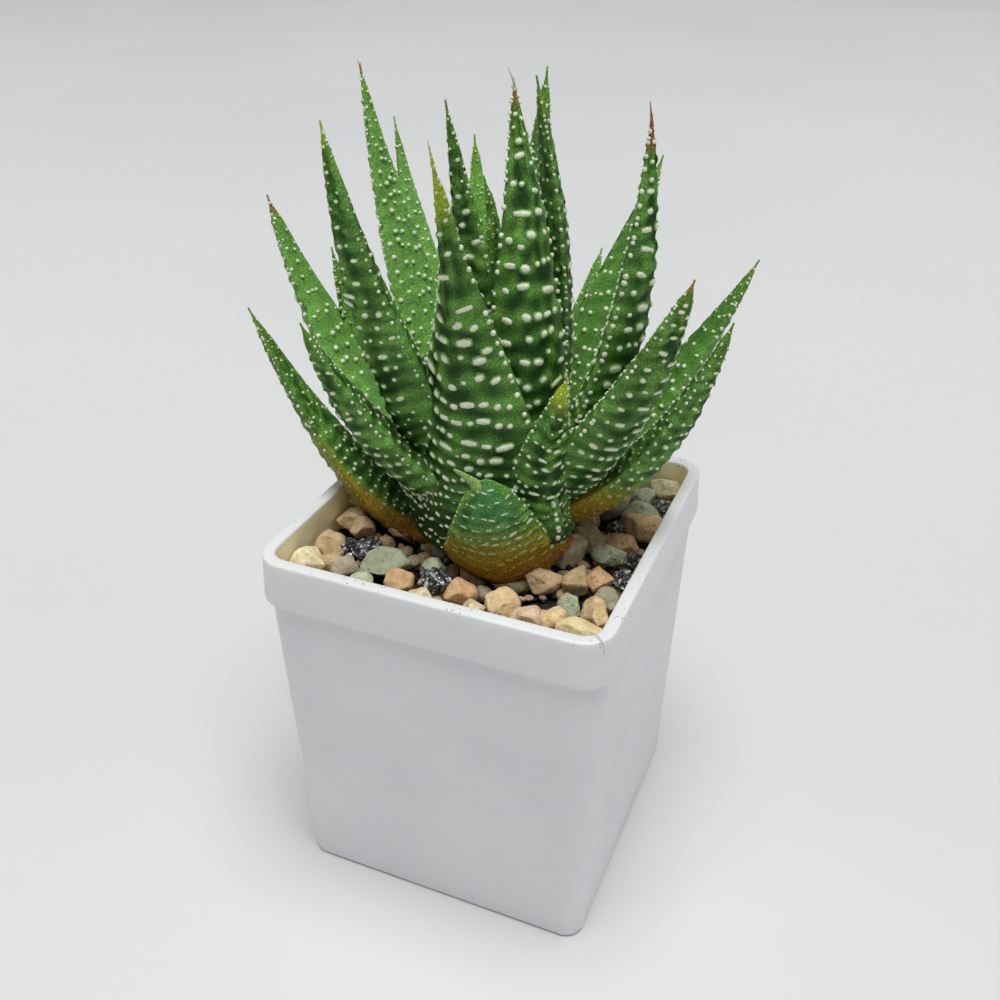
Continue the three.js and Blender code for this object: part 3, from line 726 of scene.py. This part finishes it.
def add_soil_grains(soil, half):
    """Loose grains strewn over the surface"""
    draw = seeded_random(GRAIN_SEED)
    shape, faces = ball(1)
    side = 2 * (half - GRAIN_INSET)
    for _ in range(SOIL_GRAINS):
        spot = np.array([(draw() - 0.5) * side, (draw() - 0.5) * side, SOIL_TOP + 0.1 * draw()])
        size = 0.35 + 0.75 * draw()
        squash = np.array([1, 0.65 + 0.3 * draw(), 0.55 + 0.3 * draw()]) * size
        soil.add(turned(shape * squash, 360 * draw(), 60 * draw()) + spot, faces)


def make_soil():
    half = inner_side(SOIL_TOP) / 2 - GAP
    soil = Mesh()
    add_soil_block(soil, half)
    add_soil_grains(soil, half)
    soil.make("soil_surface", DARK_SOIL, ["soil"], sharp_angle=50)


def ball(level):
    """Points and faces of a round body of small triangles"""
    body = bmesh.new()
    bmesh.ops.create_icosphere(body, subdivisions=level, radius=1)
    body.verts.ensure_lookup_table()
    points = np.array([v.co for v in body.verts], float)
    faces = [tuple(v.index for v in f.verts) for f in body.faces]
    body.free()
    return points, faces


def turned(points, turn, tilt):
    """Points tilted about X, then turned about Z, in degrees"""
    a, b = math.radians(turn), math.radians(tilt)
    about_x = np.array([[1, 0, 0], [0, math.cos(b), -math.sin(b)], [0, math.sin(b), math.cos(b)]])
    about_z = np.array([[math.cos(a), -math.sin(a), 0], [math.sin(a), math.cos(a), 0], [0, 0, 1]])
    return points @ (about_z @ about_x).T


# Stones
STONE_BALL = ball(4)
STONE_PLANES = 11
STONE_SWELL = 1.06
STONE_TILT = 16


def stone_points(length, width, draw, rough):
    """A worn block: a ball with flat facets ground on it and an uneven skin"""
    points = STONE_BALL[0].copy()
    for _ in range(STONE_PLANES):
        level = 2 * draw() - 1
        angle = 2 * math.pi * draw()
        across = math.sqrt(1 - level * level)
        facing = np.array([across * math.cos(angle), across * math.sin(angle), level])
        depth = 0.58 + 0.26 * draw()
        over = np.maximum(points @ facing - depth, 0)
        points -= 0.96 * over[:, None] * facing
    seed = 50 * draw()
    uneven = np.array([1 + 0.11 * noise.noise(Vector(p) * 1.7 + Vector((seed, 0, 0)))
                       + rough * noise.noise(Vector(p) * 5 + Vector((0, seed, 0)))
                       + 0.4 * rough * noise.noise(Vector(p) * 11 + Vector((0, 0, seed))) for p in points])
    points *= uneven[:, None]
    points /= np.abs(points).max(axis=0)
    return points * np.array([length, width, width]) / 2


def ruled_stones():
    """Places of the tan stones that no list holds, drawn as in the solids"""
    draw = seeded_random(STONE_SEED)
    taken = TAN_STONES + GREEN_STONES + BLACK_STONES
    reach = POT_TOP_SIDE / 2 - RIM_WALL - STONE_SIZE * STONE_REST
    row_step = STONE_SPACING * math.sqrt(3) / 2
    rows = math.floor(reach / row_step)
    stones = []
    for row in range(-rows, rows + 1):
        x = -reach + (0 if row % 2 == 0 else STONE_SPACING / 2)
        while x <= reach:
            place = (x + draw() - 0.5, row * row_step + draw() - 0.5)
            length = STONE_SIZE * (0.8 + 0.35 * draw())
            width = length * (0.7 + 0.25 * draw())
            turn = 180 * draw()
            free = all(math.dist(place, other[:2]) > STONE_SPACING * STONE_ROOM for other in taken)
            if free and math.dist(place, AXIS[:2]) >= PLANT_RADIUS:
                stones.append((*place, length, width, turn))
            x += STONE_SPACING
    return stones


def leaf_tree():
    """All the blades as one surface that rays can meet"""
    along, across, outer = blade_grid()
    blades = Mesh()
    for name in LEAVES:
        skin = Leaf(name).skin(along, across, np.broadcast_to(outer, along.shape))
        blades.add(skin, tube_faces(BLADE_RINGS, len(outer)))
    return BVHTree.FromPolygons(np.concatenate(blades.points).tolist(), blades.faces)


def under_leaves(spot):
    """Height of the lowest leaf skin above or below a spot"""
    met = LEAF_TREE.ray_cast((spot[0], spot[1], 0.0), (0, 0, 1))[0]
    return math.inf if met is None else met[2]


def add_stone(mesh, stone, colour, draw, rough=EVEN_SKIN, sunk=0.0):
    """One stone, kept inside the pot and pressed down under the leaves"""
    x, y, length, width, turn = stone
    half = POT_TOP_SIDE / 2 - RIM_WALL - GAP - 0.1
    points = stone_points(STONE_SWELL * length, STONE_SWELL * width, draw, rough)
    points = turned(points, turn, STONE_TILT * (draw() - 0.5))
    points += np.array([x, y, SOIL_TOP + GAP + STONE_REST * width - sunk])
    points[:, :2] = np.clip(points[:, :2], -half, half)
    points[:, 2] = np.minimum(points[:, 2], [under_leaves(spot) - GAP for spot in points])
    points[:, 2] = np.maximum(points[:, 2], SOIL_TOP - 0.3)
    shade = 0.85 + 0.3 * draw()
    mesh.add(points, STONE_BALL[1], np.array(colour) * shade)


def add_chips(mesh):
    """Small chips in the gaps between the stones, wherever no leaf is close above"""
    chip, faces = ball(2)
    half = inner_side(SOIL_TOP) / 2 - CHIP_INSET
    draw = seeded_random(CHIP_SEED)
    for _ in range(CHIP_COUNT):
        spot = np.array([(2 * draw() - 1) * half, (2 * draw() - 1) * half, SOIL_TOP + 0.5])
        size = 0.6 + 1.1 * draw()
        colour = RULED_TANS[int(draw() * len(RULED_TANS))]
        sizes = np.array([size, size * (0.6 + 0.3 * draw()), size * 0.6])
        shape = turned(chip * sizes, 360 * draw(), 50 * draw())
        shade = 0.5 + 0.4 * draw()
        if under_leaves(spot) > spot[2] + size + GAP:
            mesh.add(shape + spot, faces, np.array(colour) * shade)


def make_gravel(draw):
    """The beige, tan and peach stones with the chips between them and a stray fibre, in one piece"""
    gravel = Mesh()
    for stone, colour in zip(TAN_STONES, LISTED_TANS):
        add_stone(gravel, stone, colour, draw)
    for index, stone in enumerate(ruled_stones()):
        near = math.dist(stone[:2], AXIS[:2]) < NEAR_PLANT
        colour = np.array(RULED_TANS[index % len(RULED_TANS)]) * (NEAR_SHADE if near else 1)
        add_stone(gravel, stone, colour, draw, sunk=NEAR_SUNK if near else 0)
    add_chips(gravel)
    add_spike(gravel, STRAY_FIBRE, np.full(len(STRAY_FIBRE), 0.07), np.array(FIBRE) * 1.6)
    gravel.make("gravel_stones", LOOSE_STONE, ["gravel_tan"], sharp_angle=60)


def make_stones():
    draw = seeded_random(STONE_LOOK_SEED)
    make_gravel(draw)
    kinds = (("green", GREEN_STONES, GREY_GREEN, LOOSE_STONE, EVEN_SKIN, 60),
             ("black", BLACK_STONES, SLATE, DARK_STONE, ROUGH_SKIN, 45))
    for kind, stones, colour, material, rough, sharp_angle in kinds:
        for index, stone in enumerate(stones):
            name = f"stone_{kind}_{index + 1:02d}"
            piece = Mesh()
            add_stone(piece, stone, PALER_STONES.get(name, colour), draw, rough)
            piece.make("fine_" + name, material, [name], sharp_angle)


# Leaf blades
LINE_SHARES = np.linspace(0, 1, 200)
BLADE_RINGS = 104
OUTER_STEPS = 30
INNER_STEPS = 12
USUAL_WIDTH = 17
RIDGE_RISE = 0.3
ROW_END = 1.2
ROW_DROOP = 0.5
ROW_WANDER = 1.5
MARGIN_REACH = 0.965

# Share of a base's length at which its yellow and its orange start and are full
YELLOW_FADE = (1.0, 0.62)
ORANGE_FADE = (0.8, 0.35)

# A wart is a low dome: share of its half-size, share of its height and whiteness at each level
WART_LEVELS = ((1.8, -0.14, 0.0), (1.28, 0.2, 0.1), (0.98, 0.56, 0.85), (0.6, 0.88, 1.0))
OUTER_WART_SIDES = 8
INNER_WART_SIDES = 6
WART_RISE = 0.34
WART_HALF = 0.54
WART_REACH = 0.9
WART_SEED = 200

# Beads along the margins, thin dried points and dry fibres
BEAD_SIDES = 7
BEAD_LEVELS = (-0.7, 0.0, 0.7)
SPIKE_SIDES = 8
FIBRE_SEED = 17
FIBRE_COUNT = 9
FIBRE_STEPS = 9
FIBRE_HALF = 0.055


def fill(along):
    """Share of the flesh that the warty upper part has beyond the plain taper"""
    return smooth_step(along, 0.35, 0.75) * smooth_step(1 - along, 0, 0.07)


class Leaf:
    """One blade: its centreline and the place of any point of its skin"""

    def __init__(self, name):
        azimuth, reach, rise, lean, root_rise, root_reach, width, depth, sway, fullness = LEAVES[name]
        angle = math.radians(azimuth)
        self.name = name
        self.out = np.array([math.cos(angle), math.sin(angle), 0.0])
        self.side = np.array([-math.sin(angle), math.cos(angle), 0.0])
        self.width, self.depth, self.fullness = width, depth, fullness
        self.flesh = TIP_FILL * TIP_FILL_SHARE.get(name, 1)
        self.root_share = ROOT_SHARE.get(name, ROOT_NARROWING)
        level = math.radians(lean)
        hold = BEND * math.hypot(reach - root_reach, rise - root_rise)
        self.root = self.spot(root_reach, root_rise, 0)
        self.bend = self.spot(root_reach + hold * math.cos(level), root_rise + hold * math.sin(level), 0)
        self.tip = self.spot(reach, rise, sway)
        steps = np.linalg.norm(np.diff(self.line(LINE_SHARES), axis=0), axis=1)
        self.lengths = np.concatenate([[0], np.cumsum(steps)])
        self.length = self.lengths[-1]

    def spot(self, distance, height, shift):
        return AXIS + np.array([0, 0, SOIL_TOP + height]) + self.out * distance + self.side * shift

    def line(self, along):
        a = np.asarray(along, float)[..., None]
        return (1 - a) ** 2 * self.root + 2 * (1 - a) * a * self.bend + a ** 2 * self.tip

    def at_length(self, distance):
        """Share along the blade at a distance from its root"""
        return np.interp(distance, self.lengths, LINE_SHARES)

    def half_width(self, along):
        taper = 1 - np.power(along, TAPER_POWER)
        clasp = self.root_share + (1 - self.root_share) * smooth_step(along, 0, WIDEST)
        curved = np.power(taper, self.fullness) * (1 - STRAIGHT_SHARE)
        narrowing = clasp * (curved + (1 - along) * STRAIGHT_SHARE)
        return np.maximum(self.width * narrowing + self.flesh * fill(along), TIP_WIDTH) / 2

    def skin(self, along, across, outer, lift=0.0):
        """Points of the blade's skin, raised by lift along its face"""
        along = np.asarray(along, float)
        across = np.asarray(across, float)
        a = along[..., None]
        tangent = (1 - a) * (self.bend - self.root) + a * (self.tip - self.bend)
        tangent /= np.linalg.norm(tangent, axis=-1, keepdims=True)
        side = self.side - (tangent @ self.side)[..., None] * tangent
        side /= np.linalg.norm(side, axis=-1, keepdims=True)
        outward = np.cross(side, tangent)
        depth = self.depth * (1 - np.power(along, TAPER_POWER)) + self.flesh * fill(along)
        depth = np.maximum(depth, TIP_WIDTH)
        bulge = np.power(np.clip(1 - np.power(np.abs(across), KEEL), 0, 1), FACE_FULLNESS)
        margin = (INNER_SHARE - 0.5) * depth
        rise = np.where(outer, margin + (1 - INNER_SHARE) * depth * bulge + lift,
                        margin - INNER_SHARE * depth * bulge - lift)
        reach = self.half_width(along) * across + np.sign(across) * np.abs(across) ** 6 * lift
        return self.line(along) + side * reach[..., None] + outward * rise[..., None]


def wart_rows(leaf):
    """Distances of the wart rows from the root: close at the base, wider apart further up"""
    rows = []
    draw = seeded_random(int(leaf.width * 10 + leaf.length))
    scale = np.clip(leaf.width / USUAL_WIDTH, 0.72, 1.1)
    distance = ROW_END
    while distance < leaf.length - ROW_END:
        rows.append(distance)
        share = distance / leaf.length
        pitch = 1.8 + 1.5 * smooth_step(share, 0.08, 0.5) - 1.2 * smooth_step(share, 0.6, 0.95)
        distance += pitch * (0.82 + 0.3 * draw()) * scale * PITCH_SHARE.get(leaf.name, 1.0)
    return np.array(rows)


def row_shift(leaf, distance, across):
    """How far towards the root a row lies here: rows droop at the margins and wander a little"""
    wander = noise.noise((across * 1.9 + leaf.width, distance * 0.14, leaf.depth + leaf.out[0] * 5))
    return ROW_DROOP * across * across + ROW_WANDER * wander


def ridge_height(leaf, rows, along, across):
    """0 in the hollows between the rows and 1 on them"""
    distance = np.interp(along, LINE_SHARES, leaf.lengths)
    distance = distance + np.vectorize(lambda d, x: row_shift(leaf, d, x))(distance, across)
    index = np.clip(np.searchsorted(rows, distance), 1, len(rows) - 1)
    low, high = rows[index - 1], rows[index]
    phase = np.clip((distance - low) / (high - low), 0, 1)
    return 0.5 + 0.5 * np.cos(2 * math.pi * phase)


def base_yellow(leaf, along, across, outer, fade=YELLOW_FADE):
    """How yellow the skin is towards the base, further up on the outer face and margins: 0 in the green"""
    inner_share = 0.32 + 0.6 * smooth_step(np.abs(across), 0.5, 0.85)
    share = BASE_SHARE.get(leaf.name, 0) * np.where(outer, 1 - 0.1 * np.abs(across), inner_share) + 1e-6
    return smooth_step(-np.asarray(along, float) / share, -fade[0], -fade[1])


def skin_tint(leaf, along, across, outer, ridge):
    """Colour of the skin: painted shade in the hollows and towards the base, painted light on the ridges,
    yellow at the base and dry at the tip
    """
    # Painted shade: the green darkens towards the base, where the leaves crowd
    painted_contrast, middle = 1.0, mix(MIDDLE_GREEN, PAINTED_SHADE_GREEN, 0.45 * smooth_step(-along, -0.5, -0.1))
    # Painted light: back-lit leaves get a paler, brighter green and less painted shade between the rows
    if leaf.name in BACKLIT_LEAVES:
        painted_contrast, middle = 0.35, mix(MIDDLE_GREEN, SOFT_GREEN, BACKLIT_LEAVES[leaf.name])
    if leaf.name in YOUNG_LEAVES:
        painted_contrast, middle = 0.1, YOUNG_GREEN
    # Painted light on the ridges and painted shade in the hollows between the rows of warts
    light = mix(middle, LIT_RIDGE_GREEN, 0.8 * ridge * painted_contrast * smooth_step(along, -0.1, 0.45))
    colour = mix(light, PAINTED_SHADE_GREEN, (1 - ridge) * 0.85 * painted_contrast * smooth_step(along, 0.04, 0.3))
    colour = mix(colour, SOFT_GREEN, 0.35 * smooth_step(np.abs(across), 0.6, 1.0))
    colour = mix(colour, TIP_GREEN, 0.6 * smooth_step(along, 0.85, 1.0))
    if leaf.name in BLUE_LEAVES:
        colour = mix(colour, BLUE_GREEN, 0.65 * smooth_step(np.abs(across), 0.95, 0.3))
    if leaf.name in BASE_SHARE:
        colour = mix(colour, OLIVE_YELLOW, 0.95 * base_yellow(leaf, along, across, outer))
        orange = 0.9 if leaf.name in ORANGE_BASES else 0.4
        colour = mix(colour, ORANGE_BROWN, orange * base_yellow(leaf, along, across, outer, ORANGE_FADE))
    else:
        # Painted shade at the base of leaves without a yellow base
        colour = mix(colour, PAINTED_SHADE_GREEN, 0.85 * smooth_step(-np.asarray(along), -0.2, -0.05))
    if leaf.name in TIP_LOOK:
        dry, share = TIP_LOOK[leaf.name]
        colour = mix(colour, dry, smooth_step(along, 1 - 1.5 * share, 1 - 0.5 * share))
    return colour


def blade_grid():
    """Share along and across at each point of a blade, and which points of a ring are on the outer face"""
    along = np.linspace(0, 1, BLADE_RINGS)
    outer_across = np.sin(np.linspace(-0.5, 0.5, OUTER_STEPS + 1) * math.pi)
    inner_across = np.sin(np.linspace(0.5, -0.5, INNER_STEPS + 1) * math.pi)[1:-1]
    across = np.concatenate([outer_across, inner_across])
    outer = np.concatenate([np.ones(len(outer_across), bool), np.zeros(len(inner_across), bool)])
    return (*np.meshgrid(along, across, indexing="ij"), outer)


def add_blade(mesh, leaf, rows):
    a, x, outer = blade_grid()
    along, across = a[:, 0], x[0]
    side = np.broadcast_to(outer, a.shape)
    ridge = ridge_height(leaf, rows, a, x)
    wave = np.array([[noise.noise((leaf.width + p * 9, q * 2.5, leaf.depth)) for q in across] for p in along])
    patchy = np.array([[noise.noise((q * 3.3, p * 14, leaf.width * 3)) for q in across] for p in along])
    green = 1 - 0.85 * base_yellow(leaf, a, x, side)
    rise = RIDGE_RISE * (1 + 1.6 * patchy) * np.where(side, 1.0, 0.4) * green
    lift = rise * (ridge - 0.5) * smooth_step(1 - a, 0, 0.25) + 0.3 * wave
    lift *= smooth_step(1 - a, 0, 0.1)
    points = leaf.skin(a, x, side, lift)
    # The tint gets painted light where the skin rises and painted shade in the hollows
    tint = skin_tint(leaf, a, x, side, np.clip(0.2 + 0.65 * ridge + 0.35 * wave + patchy, 0, 1))
    mesh.add(points, tube_faces(BLADE_RINGS, len(across)), tint.reshape(-1, 3))


def bead():
    """A small round body of few faces, of radius 1"""
    points = [(0, 0, -1)]
    for level in BEAD_LEVELS:
        reach = math.sqrt(1 - level * level)
        turns = [2 * math.pi * j / BEAD_SIDES for j in range(BEAD_SIDES)]
        points += [(reach * math.cos(turn), reach * math.sin(turn), level) for turn in turns]
    points.append((0, 0, 1))
    top = len(points) - 1
    faces = []
    for j in range(BEAD_SIDES):
        k = (j + 1) % BEAD_SIDES
        faces.append((0, 1 + k, 1 + j))
        faces.append((top, top - BEAD_SIDES + j, top - BEAD_SIDES + k))
        for low in range(1, top - BEAD_SIDES, BEAD_SIDES):
            faces.append((low + j, low + k, low + BEAD_SIDES + k, low + BEAD_SIDES + j))
    return np.array(points), faces


MARGIN_BEAD = bead()


def add_wart(mesh, leaf, along, across, outer, half_across, half_along, rise, turn, skin, white):
    step = 1e-3
    here = leaf.skin(along, across, outer)
    up_leaf = leaf.skin(along + step, across, outer) - here
    over_leaf = leaf.skin(along, across + (step if across < 0 else -step), outer) - here
    over_leaf *= 1 if across < 0 else -1
    up_leaf /= np.linalg.norm(up_leaf)
    over_leaf -= (over_leaf @ up_leaf) * up_leaf
    over_leaf /= np.linalg.norm(over_leaf)
    facing = np.cross(over_leaf, up_leaf)
    if not outer:
        facing = -facing
    sides = OUTER_WART_SIDES if outer else INNER_WART_SIDES
    angles = np.linspace(0, 2 * math.pi, sides, endpoint=False)
    # A long wart has straight sides and round ends
    long = max(half_across - half_along, 0)
    c, s = math.cos(turn), math.sin(turn)
    points = []
    whites = []
    for share, height, level_white in WART_LEVELS:
        x = share * (half_across - long) * np.cos(angles) + long * np.sign(np.round(np.cos(angles), 6))
        y = share * half_along * np.sin(angles)
        spread = np.outer(c * x - s * y, over_leaf) + np.outer(s * x + c * y, up_leaf)
        points.append(here + spread + facing * rise * height)
        whites += [level_white * white] * sides
    points.append((here + facing * rise)[None])
    whites.append(white)
    faces = tube_faces(len(WART_LEVELS), sides, closed=False)
    top = len(WART_LEVELS) * sides
    faces += [(top - sides + j, top - sides + (j + 1) % sides, top) for j in range(sides)]
    if not outer:
        faces = [face[::-1] for face in faces]
    mesh.add(np.concatenate(points), faces, skin, np.array(whites))


def wart_sizes(draw, grown, room, dashes):
    """Half-width and half-length of the next wart in a row: round, oval or long, and some small"""
    kind = draw()
    size = WART_HALF * grown * (0.82 + 0.3 * draw())
    if dashes and kind < 0.7:
        return size * (1.7 + 0.9 * draw()), size * 0.7
    if kind < 0.1 and room > 2.6:
        return size * (1.9 + 0.8 * draw()), size * 0.76
    if kind < 0.4 and room > 1.6:
        return size * (1.3 + 0.4 * draw()), size * 0.78
    if kind < 0.6:
        return size * 0.68, size * 0.6
    return size, size * 0.8


def wart_tint(leaf, along, across, outer):
    return skin_tint(leaf, np.array(along), np.array(across), outer, np.array(0.9))


def add_row(mesh, leaf, distance, outer, scale, grown, tilt, draw):
    """Warts of one row on one face of the blade, from margin to margin"""
    half = float(leaf.half_width(float(leaf.at_length(distance))))
    place = -WART_REACH * half + 0.5 * draw()
    while place < WART_REACH * half:
        size_across, size_along = wart_sizes(draw, grown, half, leaf.name in DASHED_LEAVES)
        if not outer:
            size_across = 0.8 * min(size_across, 0.5 * grown)
            size_along *= 0.8
        # Warts get small where the blade is too narrow for them
        fit = min(1.0, 0.42 * half / size_across)
        size_across *= fit
        size_along *= max(fit, 0.6)
        place += size_across
        across = place / half
        slip = 0.7 * (draw() - 0.5) + tilt * across
        gap = (0.18 + 1.25 * draw() ** 2) * min(scale, 0.3 + 0.25 * half) * (1.0 if outer else 1.5)
        turn = 0.5 * (draw() - 0.5)
        place += size_across + gap
        if abs(across) > WART_REACH:
            continue
        spot = min(distance + slip - row_shift(leaf, distance, across), leaf.length - 0.8)
        spot = float(leaf.at_length(max(spot, 0.3)))
        white = (1 - 0.85 * base_yellow(leaf, spot, across, outer)) * WHITE_SHARE.get(leaf.name, 1.0)
        add_wart(mesh, leaf, spot, across, outer, size_across, size_along, fit * WART_RISE * grown, turn,
                 wart_tint(leaf, spot, across, outer), white)


def add_margin_beads(mesh, leaf, distance, scale, draw):
    """Small round warts on both margins beside one row"""
    shrunk = 1 - 0.3 * smooth_step(distance / leaf.length, 0.65, 0.95)
    for sign in (-1, 1):
        for shift in (-0.9, 0.5):
            if draw() < 0.2:
                continue
            spot = min(max(distance + shift + 0.8 * (draw() - 0.5), 0.3), leaf.length - 0.6)
            spot = float(leaf.at_length(spot))
            size = (0.30 + 0.13 * draw()) * scale * shrunk
            white = 0.9 - 0.8 * base_yellow(leaf, spot, 0.95, True)
            edge = leaf.skin(spot, MARGIN_REACH * sign, True)
            tint = wart_tint(leaf, spot, 0.95 * sign, True)
            mesh.add(MARGIN_BEAD[0] * size + edge, MARGIN_BEAD[1], tint, white)


def add_warts(mesh, leaf, rows, draw):
    scale = np.clip(leaf.width / USUAL_WIDTH, 0.75, 1.08) * WART_SHARE.get(leaf.name, 1.0)
    for distance in rows:
        share = distance / leaf.length
        grown = (0.58 + 0.42 * smooth_step(share, 0.08, 0.45) - 0.36 * smooth_step(share, 0.55, 0.95)) * scale
        tilt = 0.9 * (draw() - 0.5)
        for outer in (True, False):
            add_row(mesh, leaf, distance, outer, scale, grown, tilt, draw)
        add_margin_beads(mesh, leaf, distance, scale, draw)


def add_spike(mesh, path, widths, colour):
    """A thin dried point: a tube along a path, with its half-width at each spot"""
    path = np.array(path, float)
    points = []
    for k, spot in enumerate(path):
        ahead = path[min(k + 1, len(path) - 1)] - path[max(k - 1, 0)]
        ahead /= np.linalg.norm(ahead)
        over = np.cross(ahead, (0.37, -0.93, 0.1))
        over /= np.linalg.norm(over)
        other = np.cross(ahead, over)
        for j in range(SPIKE_SIDES):
            angle = 2 * math.pi * j / SPIKE_SIDES
            points.append(spot + widths[k] * (over * math.cos(angle) + 0.55 * other * math.sin(angle)))
    mesh.add(points, tube_faces(len(path), SPIKE_SIDES), colour)


def bent_path(start, first, second, steps=10):
    """Path that leaves start in the direction of first and ends at start + second, in millimetres"""
    start, first, second = np.array(start), np.array(first), np.array(second)
    share = np.linspace(0, 1, steps)[:, None]
    return start + first * share + (second - first) * share ** 2


def add_tip_spike(mesh, leaf):
    back, first, second, width, colour = TIP_SPIKES[leaf.name]
    path = bent_path(leaf.line(leaf.at_length(leaf.length - back)), first, second)
    add_spike(mesh, path, width * (1 - 0.9 * np.linspace(0, 1, len(path))), colour)


def add_fibres(mesh, leaf):
    """Dry fibres that lie on the blade near its margin"""
    draw = seeded_random(FIBRE_SEED)
    for _ in range(FIBRE_COUNT):
        start = leaf.skin(0.30 + 0.09 * draw(), 0.80 + 0.14 * draw(), True, 0.25)
        first = np.array([draw() - 0.5, draw() - 0.5, draw() - 0.3]) * 3.2
        second = first + np.array([draw() - 0.5, -0.4 * draw(), draw() - 0.6]) * 3.4
        path = bent_path(start, first, second, FIBRE_STEPS)
        add_spike(mesh, path, np.full(FIBRE_STEPS, FIBRE_HALF), FIBRE)


def make_leaves():
    for index, name in enumerate(LEAVES):
        leaf = Leaf(name)
        rows = wart_rows(leaf)
        mesh = Mesh()
        add_blade(mesh, leaf, rows)
        add_warts(mesh, leaf, rows, seeded_random(WART_SEED + index))
        if name in TIP_SPIKES:
            add_tip_spike(mesh, leaf)
        if name in FIBRE_LEAVES:
            add_fibres(mesh, leaf)
        mesh.make("fine_leaf_" + name, LEAF_SKIN, ["leaf_" + name])


def dress_stem():
    """The stem keeps its solid form and gets a material of its own"""
    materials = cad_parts["stem"].data.materials
    materials.clear()
    materials.append(DRY_STEM)


LEAF_TREE = leaf_tree()
make_pot()
make_soil()
make_stones()
make_leaves()
dress_stem()


# Floor, light and camera, in metres and degrees
FLOOR_HALF = 4.0
WARM_LIGHT = (1.0, 0.99, 0.97)
COOL_LIGHT = (0.90, 0.95, 1.0)
SKY_LIGHT = (0.92, 0.95, 1.0, 1)
SKY_STRENGTH = 0.26
LIGHT_TARGET = (0, 0, 0.07)

# Place, size, power in watts and colour of each light
LIGHTS = {
    "sky": ((0.3, -0.3, 3.8), 2.4, 142.0, WARM_LIGHT),
    "front": ((-2.6, -2.6, 1.6), 1.8, 9.0, WARM_LIGHT),
    "side": ((3.2, -0.6, 1.8), 2.0, 10.0, COOL_LIGHT),
}
CAMERA_PLACE = (0.05657, -0.13255, 0.15077)
CAMERA_DIP = 30.96
CAMERA_TURN = 22.75
CAMERA_SENSOR = 36
CAMERA_LENS = 38.25


def make_floor():
    mesh = bpy.data.meshes.new("floor")
    corners = [(x * FLOOR_HALF, y * FLOOR_HALF, 0) for x, y in ((-1, -1), (1, -1), (1, 1), (-1, 1))]
    mesh.from_pydata(corners, [], [(0, 1, 2, 3)])
    mesh.materials.append(PALE_FLOOR)
    floor = add_object("floor", mesh)


def add_light(name, place, size, power, colour):
    data = bpy.data.lights.new(name, "AREA")
    data.shape = "DISK"
    data.size = size
    data.energy = power
    data.color = colour
    light = add_object(name, data)
    light.location = place
    light.rotation_euler = (Vector(LIGHT_TARGET) - Vector(place)).to_track_quat("-Z", "Y").to_euler()


def make_stage():
    make_floor()
    for name, settings in LIGHTS.items():
        add_light(name, *settings)
    world = bpy.data.worlds.new("studio")
    world.use_nodes = True
    background = world.node_tree.nodes["Background"]
    background.inputs["Color"].default_value = SKY_LIGHT
    background.inputs["Strength"].default_value = SKY_STRENGTH
    bpy.context.scene.world = world
    bpy.context.scene.view_settings.view_transform = "Standard"


def make_camera():
    data = bpy.data.cameras.new("camera")
    data.sensor_width = CAMERA_SENSOR
    data.lens = CAMERA_LENS
    data.clip_start = 0.01
    camera = add_object("camera", data)
    camera.location = CAMERA_PLACE
    camera.rotation_euler = (math.radians(90 - CAMERA_DIP), 0, math.radians(CAMERA_TURN))
    bpy.context.scene.camera = camera


make_stage()
make_camera()
